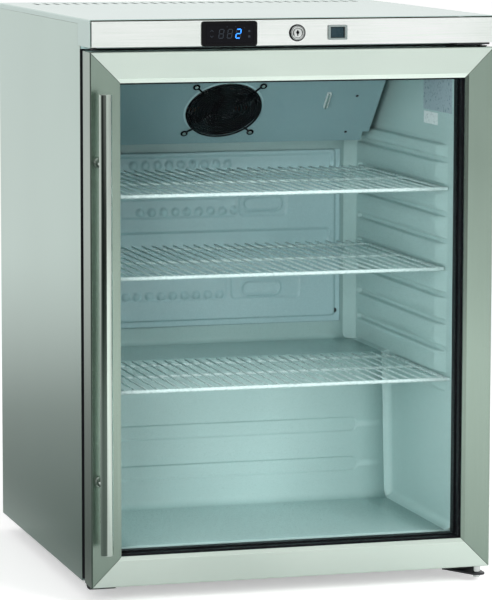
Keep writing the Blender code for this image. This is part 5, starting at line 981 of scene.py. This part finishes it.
# %% Lock ring and rocker
LOCK, INTO = (2.4, -275.35, CONTROL_Z), (0, 1, 0)
ring_outline = soften([(6.9, 20), (6.9, -2.2), (7.6, -3.0), (8.6, -3.0), (9.0, -2.5), (9.4, -3.0), (9.8, -3.0),
                       (10.4, -1.9), (10.4, -0.3), (9.5, -0.3), (9.5, 20)],
                      [0, 0.2, 0.3, 0.2, 0.2, 0.2, 0.3, 0.6, 0, 0, 0], 4)
piece("turned_lock_ring", "cabinet", "nickel", lathe(ring_outline, LOCK, INTO, 64), ring=True, sharp=40,
      stands_for="lock_housing")
washer = soften([(10.0, 0.0), (12.0, 0.0), (12.0, -1.2), (11.6, -1.6), (10.0, -1.6)], [0, 0, 0.3, 0.3, 0], 3)
inlay = soften([(8.4, -2.0), (9.6, -2.0), (9.6, -2.9), (8.4, -2.9)], 0.1, 2)
piece("black_lock_washer", "cabinet", "black_abs", *[lathe(shape, LOCK, INTO, 64) for shape in (washer, inlay)],
      ring=True)
plug = spun([(0.4, -2.6), (5.4, -2.6), (6.6, -2.2), (6.6, 21), (0.4, 21)], [0, 0.5, 0.4, 0, 0], 5, LOCK, INTO)
tail = slab(box_outline((-0.35, CONTROL_Z - 2.75), (5.15, CONTROL_Z + 2.75), 0.5), "Y", -254.5, -247.4)
piece("turned_lock_plug", "lock", "nickel", plug, tail, stands_for="lock_plug", sharp=40)
round_part = [2.4, CONTROL_Z + 0.6] + 2.3 * circle(np.array([1, 0]), np.array([0, 1]), 28)
blade_part = box_outline((1.6, CONTROL_Z - 4.3), (3.2, CONTROL_Z + 4.3), 0.5, 4)
piece("key_way", "lock", "fan_black", slab(round_part, "Y", -278.02, -277.0), slab(blade_part, "Y", -278.04, -277.0))


def rocker():
    """Side view turned 10 degrees: a hollow face of depth 2.2 mm between two crests, eased edges."""
    share = np.linspace(-1, 1, 17)
    face = np.stack([9.1 * share, -4.4 + 2.2 * (1 - share ** 2)], 1)
    outline = np.concatenate([face, [(9.1, 0), (4.6, 6), (-4.6, 6), (-9.1, 0)]])
    c, s = np.cos(np.radians(-10)), np.sin(np.radians(-10))
    turned = outline @ np.array([[c, s], [-s, c]])
    return slab(turned + [62.0, -272.35], "Z", CONTROL_Z - 7.25, CONTROL_Z + 7.25)


piece("hollow_rocker", "rocker", "teal_key", rocker(), bevel=0.4, stands_for="switch_rocker")
print("controls drawn")

# %% [markdown]
# ## Behind the cover
# A coil is a pack of thin aluminium plates pushed over copper tubes. Each plate is the same small grid, set
# down at 6 mm pitch, and the tubes end in round bends. The tray below it is one profile carried round a
# rectangle with round corners: up the outside, over a rolled rim, and down the inside.

# %% Coil
ROWS, FIN = (668, 700, 732), 0.25


def boxes(lows, highs):
    """Rectangular blocks between low and high corners, as grids of four-sided rings."""
    a, b = np.atleast_2d(np.asarray(lows, float)), np.atleast_2d(np.asarray(highs, float))
    corner = np.array([(0, 0), (1, 0), (1, 1), (0, 1)])
    ring = a[:, None, :2] + corner[None] * (b - a)[:, None, :2]
    ends = [np.concatenate([ring, np.repeat(z[:, None, None], 4, 1)], 2) for z in (a[:, 2], b[:, 2])]
    return np.stack(ends, 1)


def coil():
    """67 plates 0.5 mm thick, three rows of two hairpin tubes 7 mm across, and their bends."""
    x = np.arange(-33, 34) * 6.0
    corners = (-FIN, 187, 653.2), (FIN, 235.8, 750.2)
    plates = boxes(*[np.stack([x + half, 0 * x + y, 0 * x + z], 1) for half, y, z in corners])
    tubes = [rod((-200, y, z), (200, y, z), 3.5, 12) for z in ROWS for y in (199, 224)]
    turn = np.linspace(0, np.pi, 9)
    bends = [np.stack([s * (200 + 1.2 * np.sin(turn)), 211.5 + 12.5 * np.cos(turn), z + 0 * turn], 1)
             for z in ROWS for s in (-1, 1)]
    return plates, [*tubes, wire(bends, 3.5, (0, 0, 1), 10)]


plates, tubes = coil()
piece("coil_plates", "cabinet", "fins", plates, stands_for="evaporator_coil")
piece("coil_tubes", "cabinet", "copper", *tubes)


# %% Open trays
def tray(low, high, sheet, corner, rim=0.0, slope=0.0):
    """Rings from the outer foot up, over a rolled rim and down to the inner floor; walls lean out by slope."""
    a, b, rise = np.array(low[:2], float), np.array(high[:2], float), high[2] - low[2]
    steps = [(slope + rim + 1.5, 0), (slope + rim + 0.4, 0.4), (slope + rim, 1.5), (rim, rise - 2.2), (0, rise - 1.8),
             (0, rise - 0.6), (0.5, rise), (rim + sheet - 0.4, rise), (rim + sheet, rise - 0.6),
             (rim + slope + sheet, sheet + 1.2), (rim + slope + sheet + 1.2, sheet)]
    rings = [np.insert(box_outline(a + inset, b - inset, max(corner - inset, 0.8), 6), 2, low[2] + z, axis=1)
             for inset, z in steps]
    return np.stack(rings)


piece("drip_pan", "cabinet", "white_paint", tray((-234.2, 170.4, 620.4), (234.2, 245.6, 634.2), 1.2, 5),
      stands_for="drip_tray", sharp=50)

# %% Lamp, probe and fan opening
PROBE_X = 161
lamp_side = soften([(-195.6, 750.6), (-195.6, 746), (-191, 743.1), (-168.4, 743.1), (-163.7, 746), (-163.7, 750.6)],
                   [0, 2, 3, 3, 2, 0], 6)
piece("lamp_cover", "cabinet", "milky", slab(lamp_side, "X", -141, 141), stands_for="lamp_housing")
piece("lamp_ends", "cabinet", "grey_frame", slab(lamp_side, "X", -150, -141.2), slab(lamp_side, "X", 141.2, 150),
      bevel=0.6)
clip = soften([(-3, 0.3), (3, 0.3), (3, 5), (2, 5), (2, 1.3), (-2, 1.3), (-2, 5), (-3, 5)],
              [0.6, 0.6, 0.4, 0.4, 0.9, 0.9, 0.4, 0.4], 4)
held = slab(clip + [PROBE_X, 0], "Y", 81, 113)
piece("probe_holder", "cabinet", "clip_white", on_slope(held, 0), stands_for="probe_clip")
bulb = rod(on_slope((PROBE_X, 78, 3.4), 0), on_slope((PROBE_X, 112, 3.4), 0), 1.9, 16, (1, 0, 0))
piece("probe_bulb", "cabinet", "nickel", bulb)
lip = soften([(58.9, -1.5), (58.9, 0.9), (60.4, 0.9), (62.4, 0.15), (62.4, -0.2), (60.2, -0.4)],
             [0, 0.5, 0.8, 0.3, 0, 0], 4)
piece("drawn_fan_lip", "cabinet", "white_paint", lathe(lip, centre, OUT, 96), ring=True, sharp=50)

# %% Blank plates on the wall
piece("blank_grey_plate", "cabinet", "grey_film", boxes((262.7, -197, 683), (262.95, -70, 749)))
piece("blank_white_plate", "cabinet", "white_film", boxes((262.7, -135, 662), (262.95, -72, 680)))
print("cooling parts drawn")

# %% [markdown]
# ## Seal, hinges and feet
# The seal is a soft rubber section with a waist, carried round the door and mitred at its corners. Hinge
# plates are outlines with round corners given the sheet's thickness. A levelling foot is turned, with a
# ribbed pad: its radius gains a small cosine of 30 times the angle.

# %% Magnetic seal
def seal_section():
    """Inset from the door's edge and depth behind its face: root flange, waist and magnet pocket."""
    corners = [(12, 42.8), (28, 42.8), (28, 44.6), (24.5, 46.4), (23.2, 49), (24.5, 51.4), (27.6, 52.6), (27.6, 59.3),
               (12.6, 59.3), (12.6, 52.6), (15.5, 51.4), (16.8, 49), (15.5, 46.4), (12, 44.6)]
    return soften(corners, [0.4, 0.4, 0.6, 0.8, 1.4, 1, 1, 1.2, 1.2, 1, 1, 1.4, 0.8, 0.6], 4)


piece("magnetic_seal", "door", "rubber", ring_grid(seal_section()), ring=True, stands_for="door_gasket")
# Painted shade: a black strip on the cabinet's front edge, seen in the gap beside the door, stands for the shade in
# that gap.
trim = soften([(0.4, 0), (11.8, 0), (11.8, -0.7), (0.4, -0.7)], [0, 0, 0.3, 0.3], 3)
piece("door_gap_painted_shade_strip", "cabinet", "rubber", ring_grid(trim, HALF, 27, 787, -215.68), ring=True)

# %% Hinge plates and pins
plan = soften([(248, -212.7), (279.9, -266.3), (297.9, -266.3), (297.9, -212.7)], [1, 8, 8, 1], 8)
crank = soften([(-215.9, 10), (-212.7, 10), (-212.7, 21.7), (-176.7, 21.7), (-176.7, 24.6), (-215.9, 24.6)],
               [0.3, 1.5, 1.5, 0.5, 0.5, 3], 6)
piece("pressed_lower_bracket", "cabinet", "black_coat", slab(plan, "Z", 10, 13), slab(crank, "X", 248, 298),
      bevel=0.35, stands_for="lower_hinge_bracket")
angle = soften([(-266.3, 788.1), (-215.9, 788.1), (-215.9, 814), (-218.9, 814), (-218.9, 791), (-266.3, 791)],
               [0.4, 3, 0.4, 0.4, 1.5, 0.4], 6)
piece("pressed_upper_bracket", "cabinet", "black_coat", slab(angle, "X", 244.7, 294.7), bevel=0.35,
      stands_for="upper_hinge_bracket")
under = [pan_head((x, -190, 21.7), (0, 0, -1), 4.0) for x in (259, 287)]
front = [pan_head((x, -218.9, 803), (0, -1, 0), 4.0) for x in (256, 283)]
piece("bracket_screws", "cabinet", "zinc", *under, *front, sharp=30)
AXIS = (287, -255.35, 0)
collar = spun([(0.4, 13.3), (5.5, 13.3), (5.5, 23.5), (4, 23.5), (4, 36.7), (0.4, 36.7)],
              [0, 0.5, 0.5, 0, 0.8, 0], 4, AXIS)
stem = lathe([(0.4, 9.9), (3.9, 9.9), (3.9, 13.4), (0.4, 13.4)], AXIS)
nut = spun([(0.4, 5.8), (6.0, 5.8), (6.0, 9.6), (0.4, 9.6)], [0, 0.7, 0.7, 0], 3, AXIS, sides=6)
piece("turned_lower_pin", "cabinet", "nickel", collar, stem, nut, stands_for="lower_hinge_pin")
upper = spun([(0.4, 773.4), (4, 773.4), (4, 790.7), (0.4, 790.7)], [0, 0.8, 0.4, 0], 4, AXIS)
piece("turned_upper_pin", "cabinet", "nickel", upper, stands_for="upper_hinge_pin")
for name, outer, seat, end in (("lower", 23.8, 24.7, 36.9), ("upper", 786.2, 785.3, 773.1)):
    bush = soften([(4.25, outer), (7.5, outer), (7.5, seat), (5.4, seat), (5.4, end), (4.25, end)],
                  [0.2, 0.3, 0.2, 0.1, 0.2, 0.2], 3)
    piece("moulded_%s_bush" % name, "door", "black_abs", lathe(bush, AXIS), ring=True,
          stands_for=name + "_hinge_bush")

# %% Pads and feet
belly = soften([(-273.8, 24.6), (-234.3, 24.6), (-234.3, 21.8), (-240.3, 18.8), (-254, 19.3), (-273.8, 23.6)],
               [0.5, 0.5, 1.5, 3, 8, 0.4], 6)
piece("moulded_corner_pad", "door", "black_abs", slab(belly, "X", -297.4, -263.6), bevel=0.7,
      stands_for="corner_bumper")
pad = box_outline((-293, -271.3), (-288, -251.4), 1.2)
piece("rubber_stop", "cabinet", "rubber", slab(pad, "Z", 787, 790.9), bevel=0.5, stands_for="buffer_pad")


def foot(x, y):
    """Ribbed pad, threaded stem and hexagon collar; the thread is rings 0.35 mm deep at 1.25 mm pitch."""
    pad = spun([(0.5, 0), (15.6, 0), (18, 2), (18, 4.9), (12, 6.6), (6.4, 7.2), (0.5, 7.2)],
               [0, 1, 1, 1.2, 2, 1, 0], 4, (x, y, 0), sides=120)
    spoke = pad[..., :2] - [x, y]
    reach = np.linalg.norm(spoke, axis=-1, keepdims=True)
    ribs = 1 - 0.035 * (0.5 + 0.5 * np.cos(30 * np.arctan2(spoke[..., 1:], spoke[..., :1]))) * (reach > 15)
    pad[..., :2] = [x, y] + spoke * ribs
    level = np.arange(7.0, 19.8, 0.3125)
    thread = np.stack([4.75 + 0.25 * np.cos(2 * np.pi * level / 1.25), level], 1)
    thread = np.concatenate([[(0.5, 7.0)], thread, [(0.5, 19.8)]])
    collar = spun([(0.5, 19.7), (7.9, 19.7), (7.9, 24.6), (0.5, 24.6)], [0, 0.7, 0.7, 0], 3, (x, y, 0), sides=6)
    return pad, lathe(thread, (x, y, 0), sides=32), collar


for end, y in (("front", -135.65), ("rear", 284.35)):
    for side, x in (("left", -254), ("right", 254)):
        name = f"foot_{end}_{side}"
        piece("levelling_" + name, name, "black_abs", *foot(x, y), stands_for=name)
print("hinges and feet drawn")

# %% [markdown]
# ## Machine compartment
# The compressor is two drawn steel cups welded at a flange, so it is one turned profile, with its plate,
# rubber mounts and pipe stubs. The condenser is one tube bent to and fro with thin wires welded on both
# sides: real ones have a wire every 6 mm, which is why it is drawn with 72 on each side.

# %% Compressor
CAN_X, CAN_Y, TUBE_Y, RUN, PITCH = 110.0, 223.75, 303.5, 225.0, 70


def can():
    """Turned: dished foot, lower cup, weld flange, upper cup and domed crown."""
    corners = [(1, 43.5), (52, 43.2), (66, 60), (66, 106.2), (67.6, 106.4), (67.6, 109.4), (66, 109.6), (64, 140),
               (48, 153), (18, 160), (1, 160.2)]
    return spun(corners, [0, 14, 20, 0.3, 0.6, 0.6, 0.3, 20, 20, 20, 0], 7, (CAN_X, CAN_Y, 0), sides=96)


plate = slab(box_outline((15.1, 163.9), (204.9, 283.6), 10, 6), "Z", 37.0, 39.6)
grommets = [spun([(0.5, 26.9), (10, 26.9), (11, 31), (8, 33.5), (11, 36), (10, 41), (4, 42), (0.5, 42)],
                 [0, 1, 1.5, 1.5, 1.5, 1.5, 1, 0], 4, (CAN_X + x, CAN_Y + y, 0), sides=32)
            for x in (-85, 85) for y in (-50, 50)]
low_legs = boxes([(CAN_X - 60, CAN_Y + y, 39.5) for y in (-40, 34)], [(CAN_X + 60, CAN_Y + y, 52) for y in (-34, 40)])
stubs = [wire(soften([(CAN_X + s * x, CAN_Y + y, z) for x, y, z in ((40, 30, 120), (56, 44, 120), (56, 44, 150))],
                     [0, 8, 0], 6, closed=False), 3.2, (0.6, 1, 0.1), 12) for s in (-1, 1)]
piece("drawn_compressor_can", "cabinet", "enamel", can(), plate, low_legs, stands_for="compressor", sharp=40)
piece("rubber_grommets", "cabinet", "rubber", *grommets)
piece("process_stubs", "cabinet", "copper", *stubs)

fold = [(123.5, 27.2), (124.3, 27.2), (124.3, 254.6), (284.1, 254.6), (284.1, 255.4), (123.5, 255.4)]
piece("folded_bay_lining", "cabinet", "zinc", slab(soften(fold, [0, 0, 2, 0, 0, 2.8], 5), "X", -297.6, 297.6))

# %% Relay cover and evaporation pan
bite = np.linspace(np.radians(200.5), np.radians(159.5), 15)
seat = np.stack([CAN_X + 68.0 * np.cos(bite), CAN_Y + 68.0 * np.sin(bite)], 1)
relay = np.concatenate([[(4.7, 198.9), (seat[0, 0], 198.9)], seat, [(seat[-1, 0], 248.7), (4.7, 248.7)]])
vents = boxes([(4.3, 205 + 7 * i, 72) for i in range(6)], [(4.9, 208 + 7 * i, 101) for i in range(6)])
piece("relay_cover", "cabinet", "black_abs", slab(relay, "Z", 60.7, 112.5), vents, bevel=0.9, stands_for="relay_box")
piece("evaporation_tray", "cabinet", "black_abs", tray((30.1, 161.9, 160.8), (189.9, 285.7, 190.5), 1.5, 12, 3.0, 2.0),
      stands_for="evaporation_pan", sharp=50)


# %% Condenser
def serpentine():
    """Seven level runs at 70 mm pitch, joined by half circles of radius 35."""
    turn = np.linspace(-np.pi / 2, np.pi / 2, 17)
    path = [[(RUN, TUBE_Y, 315.0)]]
    for run, side in enumerate((-1, 1) * 3):
        x, z = side * (RUN + 34.6 * np.cos(turn)), 350 + PITCH * run + PITCH / 2 * np.sin(turn)
        path.append(np.stack([x, TUBE_Y + 0 * turn, z], 1))
    return np.concatenate([*path, [(-RUN, TUBE_Y, 735.0)]])


x = np.linspace(-222, 222, 72)
grids = [wire(refined(serpentine(), 20.0), 2.6, (0, 1, 0), 12)]
for y in (300.2, 306.2):
    low = np.stack([x, 0 * x + y, 0 * x + 297.6], 1)
    grids.append(rod(low, low + [0, 0, 454.8], 0.75, 6, (0, 1, 0)))
holders = boxes(*[[(x + s * 5, y, z + s * 4) for x in (-216, 216) for z in (385, 665)]
                  for s, y in ((-1, 286.0), (1, 302.5))])
piece("wire_on_tube_condenser", "cabinet", "black_coat", *grids, stands_for="condenser", sharp=50)
piece("condenser_brackets", "cabinet", "black_coat", holders, bevel=0.8)

# %% Pipes, drier and cord bush
pipe = soften([(176.4, 223.75, 82), (260.2, 223.75, 82), (260.2, 303.3, 200), (260.2, 303.3, 315), (225.4, 303.3, 315)],
              [0, 14, 16, 14, 0], 8, closed=False)
piece("bent_discharge_pipe", "cabinet", "copper", wire(refined(pipe, 12.0), 3.2, (0, 1, 0), 14),
      stands_for="discharge_pipe")
drier = spun([(0.4, 0), (2.6, 0), (3.0, 4), (8, 11), (8, 43), (3.0, 50), (2.6, 54), (0.4, 54)],
             [0, 0.3, 2, 2.5, 2.5, 2, 0.3, 0], 5, (-225.3, TUBE_Y, 735), (-1, 0, 0), 40)
piece("drawn_filter_drier", "cabinet", "copper", drier, stands_for="filter_drier")
gland = soften([(4, 308.9), (6, 308.9), (6, 316.6), (9, 316.6), (9, 318.4), (7.2, 320.8), (4, 320.8)],
               [0.3, 0.4, 0, 0.4, 1, 0.8, 0.5], 4)
piece("moulded_cord_bush", "cabinet", "rubber", lathe(gland, (-200, 0, 36.75), INTO, 40), ring=True,
      stands_for="cable_gland")
spots = [(x, z) for x in (-285, -95, 95, 285) for z in (266, 812)] + [(x, 540) for x in (-291, 291)]
piece("rear_screws", "cabinet", "zinc", *[pan_head((x, 285.4, z), INTO, 3.6) for x, z in spots], sharp=30)
print("rear side drawn")

# %% Painted shade below the lid's slots: a black pan that makes the slots read dark
piece("vent_slot_painted_shade_pan", "cabinet", "black_coat", tray((-268, 226, 822.0), (268, 282.5, 828.6), 0.8, 3), sharp=50)
print("slots lined")
